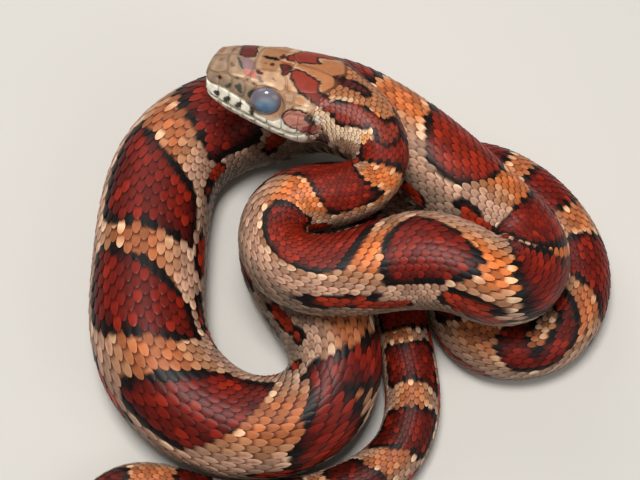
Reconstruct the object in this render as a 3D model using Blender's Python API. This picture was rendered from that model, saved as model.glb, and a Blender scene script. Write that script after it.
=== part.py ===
"""Corn snake lying in a loose stack of coils, life size, as one still model.

The body is swept along a hand-chosen route from the head to the tip of the tail and parted
by thin cuts into a neck, torso lengths and tail lengths. The head is lofted from a few
profiles, with a mouth line, brows, nostrils and sockets that hold two separate eyes.
Lengths are written in millimetres and scaled to metres when a mesh is made.
"""

import math

import bmesh
import bpy
import numpy as np
from mathutils import Matrix, Vector

MM = 0.001

# Gap left between neighbouring solids.
GAP = 0.3

# The coil's middle in the route's own plan, moved to the origin.
COIL_MIDDLE = (5.0, -12.15)

# Cross-section of the body, in half widths: height of the back, and of the flat belly.
BACK_HEIGHT = 0.93
BELLY_DEPTH = 0.90
BELLY_FULLNESS = 1.08
BELLY_POWER = 0.8
SECTION_SIDES = 20
RING_STEP = 2.5
LEAST_STEPS = 4

# Sampling and easing of the route.
SPAN_SAMPLES = 24
SAMPLE_STEP = 0.5
EASING = 1.6
EASING_REACH = 4.0
WAY_REACH = 0.4

# Head: start of the middle line, the snout's tip behind it, the way the head points (turn
# about the vertical, dip) and its tilt to the right.
LINE_START = (-20.7, 24.5, 31.6)
TIP_PLACE = 1.85
HEAD_TURN = math.radians(17.0)
HEAD_DIP = math.radians(3.4)
HEAD_TILT = math.radians(24.0)
HEAD_LENGTH = 26.0
HEAD_STATIONS = (0.0, 6.0, 12.0, 17.0, 22.0)
NECK_WIDTH = 6.0
TILT_FADE = 24.0

# Head at a distance from the line's start: half width, height of the crown, depth of the jaw
# and height of the mouth line.
HEAD_PROFILE = (
    (3.8, 4.80, 3.60, 3.75, -1.10),
    (5.7, 5.35, 4.30, 4.45, -1.45),
    (8.7, 6.00, 4.95, 5.15, -1.85),
    (11.2, 6.45, 5.30, 5.60, -2.20),
    (13.7, 6.90, 5.60, 6.05, -2.50),
    (16.7, 7.45, 5.65, 6.60, -2.80),
    (20.2, 8.00, 5.55, 6.80, -2.50),
    (23.3, 7.85, 5.35, 6.60, -1.20),
    (26.0, 7.00, 5.20, 6.10, 0.00),
)
NOSE_ROUNDING = 2.0
NOSE_STOPS = (0.08, 0.28, 0.6, 1.0, 1.45)
HEAD_STEPS = 44
HEAD_SIDES = 48
CROWN_SQUARENESS = 0.70
JAW_SQUARENESS = 0.66
JAW_TUCK = 0.05
CHIN_SETBACK = 0.9
CHIN_LENGTH = 6.0
MOUTH_CORNER = 23.2
MOUTH_DEPTH = 0.38
MOUTH_FADE = 1.5

# Brow above each eye: how far it stands out, its half length, and its place and half spread
# in degrees round from the middle of the crown.
BROW_REACH = 0.42
BROW_LIFT = 0.21
BROW_LENGTH = 2.6
BROW_ANGLE = 52.0
BROW_SPREAD = 11.0

# Eyes: distance from the line's start, from the middle plane and above the axis, with half sizes.
EYE_PLACE = (13.8, 5.45, 1.25)
EYE_SIZE = (2.7, 1.75, 2.6)
EYE_TURN = math.radians(12.0)
EYE_RINGS = 14
NOSTRIL_PLACE = (5.2, 4.4, 2.3)
NOSTRIL_RADIUS = 0.42
NOSTRIL_RINGS = 6

# The route of the body's middle line from head to tail, one group for each length. A station
# is x, y, height and half width. A height of zero lies on the floor, on the flat of the belly.
ROUTE = (
    ("neck", (
        (5.6, 14.7, 32.8, 6.2),
        (8.7, 11.8, 32.9, 5.6),
        (10.2, 8.4, 32.1, 4.9),
        (9.5, 5.1, 30.2, 4.8),
        (6.2, 3.5, 27.8, 5.1),
    )),
    ("neck_loop", (
        (1.2, 3.1, 25.4, 5.6),
        (-3.0, 3.1, 24.2, 5.9),
        (-6.6, 0.9, 23.6, 6.1),
        (-8.1, -3.4, 23.4, 6.1),
        (-6.4, -7.8, 23.6, 6.4),
        (-2.0, -10.2, 24.0, 6.7),
    )),
    ("torso_01", (
        (3.0, -10.4, 24.2, 7.1),
        (8.5, -9.5, 24.4, 7.7),
        (13.5, -8.3, 24.7, 8.2),
        (18.5, -8.2, 25.2, 8.3),
    )),
    ("torso_02", (
        (24.0, -9.9, 25.6, 7.7),
        (30.2, -12.0, 24.2, 7.3),
        (35.2, -8.4, 20.4, 7.4),
        (35.2, -2.4, 17.2, 7.6),
        (30.8, 2.6, 16.8, 8.0),
    )),
    ("torso_03", (
        (24.0, 8.5, 18.8, 8.1),
        (16.6, 15.0, 19.8, 8.0),
    )),
    ("torso_04", (
        (8.0, 21.8, 17.9, 8.3),
        (-0.5, 26.3, 14.0, 8.8),
        (-10.5, 26.7, 0.0, 9.3),
    )),
    ("torso_05", (
        (-19.5, 23.8, 0.0, 9.7),
        (-27.0, 17.0, 0.0, 10.0),
    )),
    ("torso_06", (
        (-30.0, 7.0, 0.0, 10.2),
        (-30.6, -3.5, 0.0, 10.3),
    )),
    ("torso_07", (
        (-30.5, -13.5, 0.0, 10.4),
        (-28.0, -22.5, 0.0, 10.3),
        (-21.5, -29.5, 0.0, 9.8),
    )),
    ("torso_08", (
        (-12.5, -33.0, 8.8, 9.0),
        (-3.8, -32.0, 9.8, 8.6),
        (1.3, -27.5, 10.5, 8.3),
    )),
    ("torso_09", (
        (2.7, -20.5, 10.2, 8.3),
        (0.2, -13.5, 9.0, 8.4),
        (-4.0, -7.0, 0.0, 8.5),
    )),
    ("torso_10", (
        (-6.7, 1.0, 0.0, 8.3),
        (-4.0, 7.6, 0.0, 7.8),
        (3.2, 10.2, 0.0, 7.1),
    )),
    ("torso_11", (
        (11.5, 11.4, 0.0, 6.5),
        (19.8, 13.6, 0.0, 6.4),
    )),
    ("torso_12", (
        (28.0, 15.5, 0.0, 6.3),
        (36.5, 12.5, 0.0, 6.2),
        (43.0, 6.0, 0.0, 6.2),
    )),
    ("torso_13", (
        (46.5, -2.0, 0.0, 6.2),
        (45.5, -10.5, 0.0, 6.2),
        (40.5, -16.5, 0.0, 6.0),
    )),
    ("torso_14", (
        (33.5, -18.0, 0.0, 5.9),
        (28.0, -16.2, 0.0, 5.8),
        (25.0, -12.0, 0.0, 5.6),
        (24.2, -7.2, 0.0, 5.5),
        (22.0, -3.2, 0.0, 5.4),
        (18.5, -2.0, 0.0, 5.3),
        (15.0, -3.7, 0.0, 5.2),
        (14.1, -8.4, 0.0, 5.1),
    )),
    ("torso_15", (
        (14.9, -14.5, 0.0, 5.0),
        (16.1, -22.0, 0.0, 5.0),
        (16.3, -29.5, 0.0, 5.0),
    )),
    ("torso_16", (
        (13.4, -37.0, 0.0, 4.9),
        (6.5, -42.4, 0.0, 4.9),
        (-2.5, -45.4, 0.0, 4.8),
    )),
    ("torso_17", (
        (-12.0, -46.4, 0.0, 4.7),
        (-20.5, -45.2, 0.0, 4.6),
        (-28.0, -42.8, 0.0, 4.4),
    )),
    ("tail_base", (
        (-34.5, -43.0, 0.0, 4.2),
        (-38.8, -47.0, 0.0, 4.0),
        (-37.8, -52.8, 0.0, 3.8),
        (-32.5, -56.2, 0.0, 3.6),
    )),
    ("tail_middle", (
        (-25.5, -57.0, 0.0, 3.4),
        (-17.0, -56.8, 0.0, 3.1),
        (-8.0, -55.8, 0.0, 2.8),
        (1.0, -54.0, 0.0, 2.4),
    )),
    ("tail_tip", (
        (10.5, -51.5, 0.0, 2.0),
        (20.0, -48.5, 0.0, 1.5),
        (29.5, -45.5, 0.0, 1.0),
        (38.5, -42.0, 0.0, 0.4),
    )),
)

SCALE_COLOUR = (0.36, 0.10, 0.06, 1.0)
EYE_COLOUR = (0.28, 0.40, 0.62, 1.0)


def clear_scene():
    for item in list(bpy.data.objects):
        bpy.data.objects.remove(item)


def material(name, colour, roughness):
    made = bpy.data.materials.new(name)
    made.use_nodes = True
    shader = made.node_tree.nodes["Principled BSDF"]
    shader.inputs["Base Color"].default_value = colour
    shader.inputs["Roughness"].default_value = roughness
    return made


def solid(name, bm, look):
    """Turns a bmesh in millimetres into a named object in metres."""
    bmesh.ops.scale(bm, vec=(MM, MM, MM), verts=bm.verts)
    bmesh.ops.recalc_face_normals(bm, faces=bm.faces)
    mesh = bpy.data.meshes.new(name)
    bm.to_mesh(mesh)
    bm.free()
    mesh.materials.append(look)
    mesh.shade_smooth()
    made = bpy.data.objects.new(name, mesh)
    bpy.context.collection.objects.link(made)
    return made


def loft(bm, rings):
    """Closes a run of equal rings into a body with flat ends."""
    rows = [[bm.verts.new(point) for point in ring] for ring in rings]
    count = len(rows[0])
    for row, after in zip(rows, rows[1:]):
        for k in range(count):
            bm.faces.new((row[k], row[(k + 1) % count], after[(k + 1) % count], after[k]))
    bm.faces.new(rows[0])
    bm.faces.new(rows[-1])


def natural_spline(stations):
    """Smooth curve through the stations, sampled closely."""
    knots = np.linalg.norm(np.diff(stations[:, :3], axis=0), axis=1) ** 0.5
    count = len(stations)
    system = np.zeros((count, count))
    known = np.zeros_like(stations)
    system[0, 0] = system[-1, -1] = 1.0
    for i in range(1, count - 1):
        before, after = knots[i - 1], knots[i]
        system[i, i - 1:i + 2] = before, 2.0 * (before + after), after
        rise_after = (stations[i + 1] - stations[i]) / after
        rise_before = (stations[i] - stations[i - 1]) / before
        known[i] = 3.0 * (rise_after - rise_before)
    bend = np.linalg.solve(system, known)
    points = []
    for i, span in enumerate(knots):
        cubic = (bend[i + 1] - bend[i]) / (3.0 * span)
        slope = (stations[i + 1] - stations[i]) / span - span * (2.0 * bend[i] + bend[i + 1]) / 3.0
        for u in np.linspace(0.0, span, SPAN_SAMPLES, endpoint=False):
            points.append(stations[i] + slope * u + bend[i] * u ** 2 + cubic * u ** 3)
    points.append(stations[-1])
    return np.array(points)


def even_samples(points, step):
    """Points at even distances along a curve, with those distances."""
    spans = np.linalg.norm(np.diff(points[:, :3], axis=0), axis=1)
    run = np.concatenate([[0.0], np.cumsum(spans)])
    places = np.linspace(0.0, run[-1], int(run[-1] / step) + 1)
    columns = [np.interp(places, run, points[:, k]) for k in range(points.shape[1])]
    return places, np.stack(columns, axis=-1)


def ease(points):
    """Evens out the bends with a bell-shaped average along the curve."""
    reach = int(EASING_REACH * EASING / SAMPLE_STEP)
    weights = np.exp(-0.5 * (np.arange(-reach, reach + 1) * SAMPLE_STEP / EASING) ** 2)
    weights /= weights.sum()
    head = 2.0 * points[0] - points[1:reach + 1][::-1]
    tail = 2.0 * points[-1] - points[-reach - 1:-1][::-1]
    longer = np.concatenate([head, points, tail])
    return np.stack([np.convolve(column, weights, "valid") for column in longer.T], axis=-1)


def head_axes():
    """Forward, left and up of the head."""
    turned = Matrix.Rotation(-HEAD_TURN, 3, "Z") @ Vector((-1.0, 0.0, 0.0))
    forward = turned * math.cos(HEAD_DIP) - Vector((0.0, 0.0, math.sin(HEAD_DIP)))
    level_up = (Vector((0.0, 0.0, 1.0)) - forward * forward.z).normalized()
    up = Matrix.Rotation(HEAD_TILT, 3, forward) @ level_up
    return forward, up.cross(forward), up


def middle_line():
    """The animal's middle line from its start before the snout to the tail's tip, with distances."""
    forward = head_axes()[0]
    lead = [(*(Vector(LINE_START) - forward * distance), NECK_WIDTH) for distance in HEAD_STATIONS]
    stations = lead + [station for _, group in ROUTE for station in group]
    grounded = [(x, y, z if z else BELLY_DEPTH * r, r) for x, y, z, r in stations]
    _, curve = even_samples(natural_spline(np.array(grounded)), SAMPLE_STEP)
    places, curve = even_samples(ease(curve), SAMPLE_STEP)
    curve[:, 2] = np.maximum(curve[:, 2], BELLY_DEPTH * curve[:, 3])
    return places, curve


def point_at(places, curve, at):
    """Middle point and half width at a distance along the middle line."""
    return np.array([np.interp(at, places, column) for column in curve.T])


def frame_at(places, curve, at):
    """Place on the middle line, with the way to the tail, left of that way, up and the half width."""
    middle = point_at(places, curve, at)
    before = point_at(places, curve, at - WAY_REACH)
    after = point_at(places, curve, at + WAY_REACH)
    way = Vector((after - before)[:3]).normalized()
    level_up = (Vector((0.0, 0.0, 1.0)) - way * way.z).normalized()
    fade = min(1.0, max(0.0, 1.0 - (at - HEAD_LENGTH) / TILT_FADE))
    up = Matrix.Rotation(-HEAD_TILT * fade * fade, 3, way) @ level_up
    return Vector(middle[:3]), way, up.cross(way), up, middle[3]


def section():
    """Outline of the body across its run, in half widths: side and height."""
    outline = []
    for k in range(SECTION_SIDES):
        angle = 2.0 * math.pi * k / SECTION_SIDES
        height = math.cos(angle)
        if height >= 0.0:
            height *= BACK_HEIGHT
        else:
            height = -min(BELLY_DEPTH, BELLY_FULLNESS * abs(height) ** BELLY_POWER)
        outline.append((math.sin(angle), height))
    return outline


def body_ring(places, curve, at, outline):
    """The outline set across the body at a distance along the middle line."""
    middle, _, left, up, width = frame_at(places, curve, at)
    ring = [middle + left * width * side + up * width * height for side, height in outline]
    for point in ring:
        point.z = max(point.z, 0.0)
    return ring


def length_starts(places, curve):
    """Distance along the middle line at which each named length starts."""
    starts = []
    for _, group in ROUTE:
        x, y, z, width = group[0]
        away = np.linalg.norm(curve[:, :3] - np.array([x, y, z or BELLY_DEPTH * width]), axis=1)
        starts.append(places[np.argmin(away)])
    starts[0] = HEAD_LENGTH
    return starts


def build_body(places, curve, look):
    """Neck, torso and tail, cut across the run where each named length starts."""
    outline = section()
    starts = length_starts(places, curve)
    ends = starts[1:] + [places[-1] + GAP / 2.0]
    for (name, _), start, end in zip(ROUTE, starts, ends):
        first = start + GAP / 2.0
        last = end - GAP / 2.0
        steps = max(LEAST_STEPS, round((last - first) / RING_STEP))
        stops = np.linspace(first, last, steps + 1)
        bm = bmesh.new()
        loft(bm, [body_ring(places, curve, at, outline) for at in stops])
        solid(name, bm, look)


def profile(distance):
    """Half width, crown, jaw and mouth heights of the head at a distance along the line."""
    rows = np.array(HEAD_PROFILE)
    reach = max(distance, rows[0, 0])
    values = [np.interp(reach, *smooth_column(rows, k)) for k in range(1, 5)]
    nose = min(1.0, (distance - TIP_PLACE) / NOSE_ROUNDING)
    rounding = math.sqrt(max(0.0, 1.0 - (1.0 - nose) ** 2))
    return [value * rounding for value in values[:3]] + [values[3] * nose]


def smooth_column(rows, k):
    """A column of the head's profile read through a smooth curve."""
    pairs = np.stack([rows[:, 0], rows[:, k], np.zeros(len(rows))], axis=-1)
    curve = natural_spline(pairs)
    return curve[:, 0], curve[:, 1]


def signed_power(value, power):
    return math.copysign(abs(value) ** power, value)


def ramp(distance):
    """Rises from nothing to one over the stretch where the mouth line sets in."""
    return min(1.0, max(0.0, distance / MOUTH_FADE))


def bell(value, middle, spread):
    return math.exp(-((value - middle) / spread) ** 2)


def head_ring(places, curve, distance):
    """One ring of the head: crown, brow, lip, mouth groove, jaw and chin."""
    middle, way, left, up, _ = frame_at(places, curve, distance)
    width, crown, jaw, mouth = profile(distance)
    groove = MOUTH_DEPTH * ramp(MOUTH_CORNER - distance) * ramp(distance - TIP_PLACE)
    chin = CHIN_SETBACK * max(0.0, 1.0 - (distance - TIP_PLACE) / CHIN_LENGTH)
    along_brow = bell(distance, EYE_PLACE[0], BROW_LENGTH)
    ring = []
    for k in range(HEAD_SIDES):
        angle = 2.0 * math.pi * k / HEAD_SIDES
        across = math.sin(angle)
        height = math.cos(angle)
        set_back = 0.0
        if 4 * k in (HEAD_SIDES, 3 * HEAD_SIDES):
            side = across * (width - groove)
            level = mouth
        elif height > 0.0:
            side = signed_power(across, CROWN_SQUARENESS) * width
            level = mouth + height ** CROWN_SQUARENESS * (crown - mouth)
        else:
            tuck = min(1.0, -3.0 * height)
            side = signed_power(across, JAW_SQUARENESS) * width * (1.0 - JAW_TUCK * tuck)
            level = mouth - abs(height) ** JAW_SQUARENESS * (jaw + mouth)
            set_back = chin * min(1.0, -2.0 * height)
        brow = along_brow * bell(degrees_from_top(angle), BROW_ANGLE, BROW_SPREAD)
        side += math.copysign(BROW_REACH * brow, side)
        level += BROW_LIFT * brow
        ring.append(middle + way * set_back - left * side + up * level)
    return ring


def degrees_from_top(angle):
    """Degrees round from the middle of the crown to either side."""
    degrees = math.degrees(angle)
    return min(degrees, 360.0 - degrees)


def ellipsoid(name, place, size, look, rings):
    """A rounded solid at a place given as x, y, z and a turn about the vertical."""
    bm = bmesh.new()
    bmesh.ops.create_uvsphere(bm, u_segments=2 * rings, v_segments=rings, radius=1.0)
    bmesh.ops.scale(bm, vec=size, verts=bm.verts)
    bmesh.ops.rotate(bm, cent=(0.0, 0.0, 0.0), matrix=Matrix.Rotation(place[3], 3, "Z"), verts=bm.verts)
    bmesh.ops.translate(bm, vec=place[:3], verts=bm.verts)
    return solid(name, bm, look)


def cut(target, cutter):
    """Cuts one solid out of another and leaves the cutter as a guide."""
    cutter.hide_render = True
    cutter.display_type = "WIRE"
    step = target.modifiers.new(cutter.name, "BOOLEAN")
    step.operation = "DIFFERENCE"
    step.object = cutter


def build_head(places, curve, look, eye_look):
    """The head, cut by eye sockets and nostrils, and the two eyes in their sockets."""
    forward, left, up = head_axes()
    placed = Matrix((forward, left, up)).transposed().to_4x4()
    placed.translation = Vector(LINE_START) * MM
    bm = bmesh.new()
    nose = [TIP_PLACE + stop for stop in NOSE_STOPS]
    rest = np.linspace(TIP_PLACE + NOSE_ROUNDING, HEAD_LENGTH - GAP / 2.0, HEAD_STEPS - len(nose))
    loft(bm, [head_ring(places, curve, distance) for distance in [*nose, *rest]])
    head = solid("head", bm, look)
    pieces = []
    for side, name in ((1.0, "left"), (-1.0, "right")):
        place = (-EYE_PLACE[0], side * EYE_PLACE[1], EYE_PLACE[2], -side * EYE_TURN)
        hollow = [half + GAP for half in EYE_SIZE]
        eye = ellipsoid("eye_" + name, place, EYE_SIZE, eye_look, EYE_RINGS)
        socket = ellipsoid("socket_" + name, place, hollow, look, EYE_RINGS)
        place = (-NOSTRIL_PLACE[0], side * NOSTRIL_PLACE[1], NOSTRIL_PLACE[2], 0.0)
        nostril = ellipsoid("nostril_" + name, place, [NOSTRIL_RADIUS] * 3, look, NOSTRIL_RINGS)
        cut(head, socket)
        cut(head, nostril)
        pieces += [eye, socket, nostril]
    for piece in pieces:
        piece.matrix_world = placed


def centre_on_origin():
    """Moves the coil's middle to the origin."""
    for item in bpy.data.objects:
        item.matrix_world.translation -= Vector((*COIL_MIDDLE, 0.0)) * MM


def main():
    clear_scene()
    scales = material("scales", SCALE_COLOUR, 0.35)
    eyes = material("eye", EYE_COLOUR, 0.15)
    places, curve = middle_line()
    build_head(places, curve, scales, eyes)
    build_body(places, curve, scales)
    centre_on_origin()


main()
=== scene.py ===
"""Corn snake, life size, resting in a loose stack of coils: its skin, scales, eyes and light.

One skin runs from the snout to the tip of the tail and replaces the solids of flesh. Head
plates, back scales and belly scutes are solid meshes set over it, and skin and scales take
their colours from the same two functions: markings of the body and markings of the head.
Places on the animal are given as a distance along the middle line, which starts a little
ahead of the snout, in millimetres, and an angle from the top of the section, in degrees. Positive angles lie on the
left of the way from head to tail.
"""

import math

import bpy
import numpy as np
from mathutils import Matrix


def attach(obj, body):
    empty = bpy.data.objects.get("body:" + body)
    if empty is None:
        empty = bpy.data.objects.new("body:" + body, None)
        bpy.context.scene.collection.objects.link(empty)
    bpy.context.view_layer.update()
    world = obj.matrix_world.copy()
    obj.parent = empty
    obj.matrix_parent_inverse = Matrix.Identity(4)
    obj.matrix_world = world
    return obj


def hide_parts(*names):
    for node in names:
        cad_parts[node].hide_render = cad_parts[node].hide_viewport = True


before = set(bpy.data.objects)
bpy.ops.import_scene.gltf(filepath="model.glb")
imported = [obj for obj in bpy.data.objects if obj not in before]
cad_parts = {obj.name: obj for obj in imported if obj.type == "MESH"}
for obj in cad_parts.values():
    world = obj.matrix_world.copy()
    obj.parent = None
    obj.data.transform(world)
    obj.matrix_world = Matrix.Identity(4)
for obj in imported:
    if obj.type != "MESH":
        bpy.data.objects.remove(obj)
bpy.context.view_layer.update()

MM = 0.001

# The coil's middle in the route's own plan, moved to the origin.
COIL_MIDDLE = (5.0, -12.15)

# Cross-section of the body, in half widths.
BACK_HEIGHT = 0.93
BELLY_DEPTH = 0.90
BELLY_FULLNESS = 1.08
BELLY_POWER = 0.8

# Sampling and easing of the route.
SPAN_SAMPLES = 24
SAMPLE_STEP = 0.5
TABLE_STEP = 0.1
EASING = 1.6
EASING_REACH = 4.0
WAY_REACH = 0.4

# Head: start of the middle line, the snout's tip behind it, the way the head points (turn
# about the vertical, dip) and its tilt to the right.
LINE_START = (-20.7, 24.5, 31.6)
TIP_PLACE = 1.85
HEAD_TURN = math.radians(17.0)
HEAD_DIP = math.radians(3.4)
HEAD_TILT = math.radians(24.0)
HEAD_LENGTH = 26.0
HEAD_STATIONS = (0.0, 6.0, 12.0, 17.0, 22.0)
NECK_WIDTH = 6.0
TILT_FADE = 24.0

# Head at a distance from the line's start: half width, height of the crown, depth of the jaw and
# height of the mouth line.
HEAD_PROFILE = np.array((
    (3.8, 4.80, 3.60, 3.75, -1.10),
    (5.7, 5.35, 4.30, 4.45, -1.45),
    (8.7, 6.00, 4.95, 5.15, -1.85),
    (11.2, 6.45, 5.30, 5.60, -2.20),
    (13.7, 6.90, 5.60, 6.05, -2.50),
    (16.7, 7.45, 5.65, 6.60, -2.80),
    (20.2, 8.00, 5.55, 6.80, -2.50),
    (23.3, 7.85, 5.35, 6.60, -1.20),
    (26.0, 7.00, 5.20, 6.10, 0.00),
))
NOSE_ROUNDING = 2.0
NOSE_SPREAD = 4.75
CROWN_SQUARENESS = 0.70
JAW_SQUARENESS = 0.66
JAW_TUCK = 0.05
CHIN_SETBACK = 0.9
CHIN_LENGTH = 6.0
MOUTH_CORNER = 23.2
BROW_REACH = 0.42
BROW_LIFT = 0.21
BROW_LENGTH = 2.6
BROW_ANGLE = 52.0
BROW_SPREAD = 11.0
NAPE_BLEND = (23.0, 30.0)

# Eyes: distance from the line's start, from the middle plane and above the axis, with half sizes.
EYE_PLACE = (13.8, 5.45, 1.25)
EYE_SIZE = (2.7, 1.75, 2.6)
EYE_TURN = math.radians(12.0)

# The eye as it shows: a little flatter and wider than its solid.
EYE_SEEN = (14.1, 5.9, 1.35)
EYE_SEEN_SIZE = (2.75, 1.6, 2.6)
FAR_EYE_SUNK = 0.55

# Hollow round each eye: distance along the middle line, angle, half length and half height.
EYE_SOCKET = (14.5, 66.0, 2.9, 2.7)

# Stations of the middle line from neck to tail: x, y, height and half width. A height of zero
# lies on the floor, on the flat of the belly.
ROUTE = (
    (5.6, 14.7, 32.8, 6.2), (8.7, 11.8, 32.9, 5.6), (10.2, 8.4, 32.1, 4.9),
    (9.5, 5.1, 30.2, 4.8), (6.2, 3.5, 27.8, 5.1),
    (1.2, 3.1, 25.4, 5.6), (-3.0, 3.1, 24.2, 5.9), (-6.6, 0.9, 23.6, 6.1),
    (-8.1, -3.4, 23.4, 6.1), (-6.4, -7.8, 23.6, 6.4), (-2.0, -10.2, 24.0, 6.7),
    (3.0, -10.4, 24.2, 7.1), (8.5, -9.5, 24.4, 7.7), (13.5, -8.3, 24.7, 8.2),
    (18.5, -8.2, 25.2, 8.3),
    (24.0, -9.9, 25.6, 7.7), (30.2, -12.0, 24.2, 7.3), (35.2, -8.4, 20.4, 7.4),
    (35.2, -2.4, 17.2, 7.6), (30.8, 2.6, 16.8, 8.0),
    (24.0, 8.5, 18.8, 8.1), (16.6, 15.0, 19.8, 8.0),
    (8.0, 21.8, 17.9, 8.3), (-0.5, 26.3, 14.0, 8.8), (-10.5, 26.7, 0.0, 9.3),
    (-19.5, 23.8, 0.0, 9.7), (-27.0, 17.0, 0.0, 10.0),
    (-30.0, 7.0, 0.0, 10.2), (-30.6, -3.5, 0.0, 10.3),
    (-30.5, -13.5, 0.0, 10.4), (-28.0, -22.5, 0.0, 10.3), (-21.5, -29.5, 0.0, 9.8),
    (-12.5, -33.0, 8.8, 9.0), (-3.8, -32.0, 9.8, 8.6), (1.3, -27.5, 10.5, 8.3),
    (2.7, -20.5, 10.2, 8.3), (0.2, -13.5, 9.0, 8.4), (-4.0, -7.0, 0.0, 8.5),
    (-6.7, 1.0, 0.0, 8.3), (-4.0, 7.6, 0.0, 7.8), (3.2, 10.2, 0.0, 7.1),
    (11.5, 11.4, 0.0, 6.5), (19.8, 13.6, 0.0, 6.4),
    (28.0, 15.5, 0.0, 6.3), (36.5, 12.5, 0.0, 6.2), (43.0, 6.0, 0.0, 6.2),
    (46.5, -2.0, 0.0, 6.2), (45.5, -10.5, 0.0, 6.2), (40.5, -16.5, 0.0, 6.0),
    (33.5, -18.0, 0.0, 5.9), (28.0, -16.2, 0.0, 5.8), (25.0, -12.0, 0.0, 5.6),
    (24.2, -7.2, 0.0, 5.5), (22.0, -3.2, 0.0, 5.4), (18.5, -2.0, 0.0, 5.3),
    (15.0, -3.7, 0.0, 5.2), (14.1, -8.4, 0.0, 5.1),
    (14.9, -14.5, 0.0, 5.0), (16.1, -22.0, 0.0, 5.0), (16.3, -29.5, 0.0, 5.0),
    (13.4, -37.0, 0.0, 4.9), (6.5, -42.4, 0.0, 4.9), (-2.5, -45.4, 0.0, 4.8),
    (-12.0, -46.4, 0.0, 4.7), (-20.5, -45.2, 0.0, 4.6), (-28.0, -42.8, 0.0, 4.4),
    (-34.5, -43.0, 0.0, 4.2), (-38.8, -47.0, 0.0, 4.0), (-37.8, -52.8, 0.0, 3.8),
    (-32.5, -56.2, 0.0, 3.6),
    (-25.5, -57.0, 0.0, 3.4), (-17.0, -56.8, 0.0, 3.1), (-8.0, -55.8, 0.0, 2.8),
    (1.0, -54.0, 0.0, 2.4),
    (10.5, -51.5, 0.0, 2.0), (20.0, -48.5, 0.0, 1.5), (29.5, -45.5, 0.0, 1.0),
    (38.5, -42.0, 0.0, 0.4),
)

# How far the skin lies inside the solids, for the scales' thickness.
COAT = 0.24

# Turn of the back's middle from the section's top: distance along the middle line, degrees.
BACK_TURN = np.array((
    (0, 0), (24, 0), (26, 2), (28, 9), (30, 14), (33, 18), (36, 18), (40, 22),
    (46, 14), (54, 4), (58, 12), (62, 20), (70, 24), (78, 16), (84, 2), (92, -3), (102, 0),
    (108, -15), (114, -32), (124, -42), (139, -30), (152, -28), (170, -18), (186, -10),
    (196, -12), (218, -8), (240, 2), (252, 0), (265, -6), (276, -28), (290, -28), (310, -10),
    (340, 12), (353, 24), (366, 24), (382, 18), (402, 8), (420, 0), (437, -14), (448, -5),
    (461, 0), (475, -14), (490, -18), (502, -20), (520, -8), (545, 0), (601, 0),
), dtype=float)

# Small blotches low on the flanks that stand apart from the regular ones: middle, half
# length, angle and half its spread.
BLOTCHES = np.array((
    (77.8, 5.8, -62, 13), (101.0, 4.2, -64, 18), (87.0, 2.2, -80, 9), (131.5, 2.6, 36, 11),
    (140.5, 3.6, 88, 24), (178.0, 3.2, 72, 10), (204.5, 2.6, 68, 9), (219.0, 4.0, 67, 8),
    (232.0, 5.5, 69, 9), (284.2, 2.4, 46, 10), (292.0, 3.0, 84, 8),
))

# Number of scale rows over the back from a distance on, and the share of the section's
# outline that they cover.
ROW_COUNTS = ((0.0, 27), (60.0, 29), (170.0, 29), (325.0, 27), (385.0, 25), (430.0, 23),
              (470.0, 21), (507.0, 17), (530.0, 13), (555.0, 10), (578.0, 8))
BACK_SHARE = 0.66
VENT = 507.0

# Pitch of the scales along the body, from the half width.
PITCH_BASE = 0.20
PITCH_GAIN = 0.225

# Saddles: distance of the front edge at the lowest, middle and highest angle, the same for
# the back edge, then the lowest and highest angle.
SADDLES = [
    (33.6, 33.0, 33.0, 38.2, 38.1, 39.6, -60, 100),
    (39.5, 40.6, 40.3, 62.0, 52.2, 49.0, -85, 60),
    (59.2, 55.5, 50.5, 78.5, 83.0, 90.5, -16, 70),
    (84.5, 85.3, 91.0, 96.5, 100.8, 90.0, -48, 48),
    (107.5, 105.3, 104.3, 118.0, 112.3, 109.0, -95, 60),
    (119.5, 113.6, 110.0, 126.0, 124.8, 124.0, -95, 40),
    (133.8, 131.6, 136.5, 148.0, 146.2, 141.5, -85, 27),
    (157.0, 156.0, 157.0, 171.0, 170.0, 168.0, -75, 45),
    (178.0, 178.0, 181.5, 192.0, 193.8, 196.8, -62, 58),
    (198.0, 200.8, 209.0, 214.8, 216.2, 219.5, -54, 57),
    (219.3, 221.3, 231.0, 232.5, 235.7, 241.0, -64, 54),
    (240.0, 242.3, 252.0, 251.5, 259.8, 267.0, -60, 48),
    (264.0, 266.8, 276.0, 272.8, 275.6, 277.5, -95, 32),
    (276.8, 275.0, 272.0, 285.0, 281.3, 277.0, -95, 32),
    (300.0, 299.0, 299.0, 312.0, 312.0, 312.0, -75, 95),
    (317.0, 316.5, 317.0, 327.0, 327.5, 327.0, -70, 60),
    (333.0, 332.5, 333.0, 351.6, 351.6, 351.4, -60, 80),
    (355.0, 355.6, 356.0, 364.3, 364.3, 363.8, -50, 85),
    (368.8, 369.6, 370.2, 376.0, 379.6, 383.5, -40, 80),
    (379.3, 384.0, 390.5, 397.0, 399.0, 395.5, -40, 66),
    (405.0, 405.5, 407.0, 416.0, 416.5, 416.0, -55, 60),
    (422.0, 421.5, 422.0, 436.3, 436.1, 437.2, -60, 72),
    (438.0, 438.7, 438.2, 447.5, 445.7, 449.0, -62, 62),
    (451.8, 450.3, 450.2, 463.0, 458.3, 458.0, -68, 66),
    (466.0, 463.7, 461.5, 473.0, 471.5, 471.0, -68, 60),
    (477.0, 475.5, 476.0, 490.0, 489.0, 489.0, -76, 60),
    (493.5, 493.0, 493.0, 500.8, 500.0, 500.0, -85, 60),
]

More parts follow.
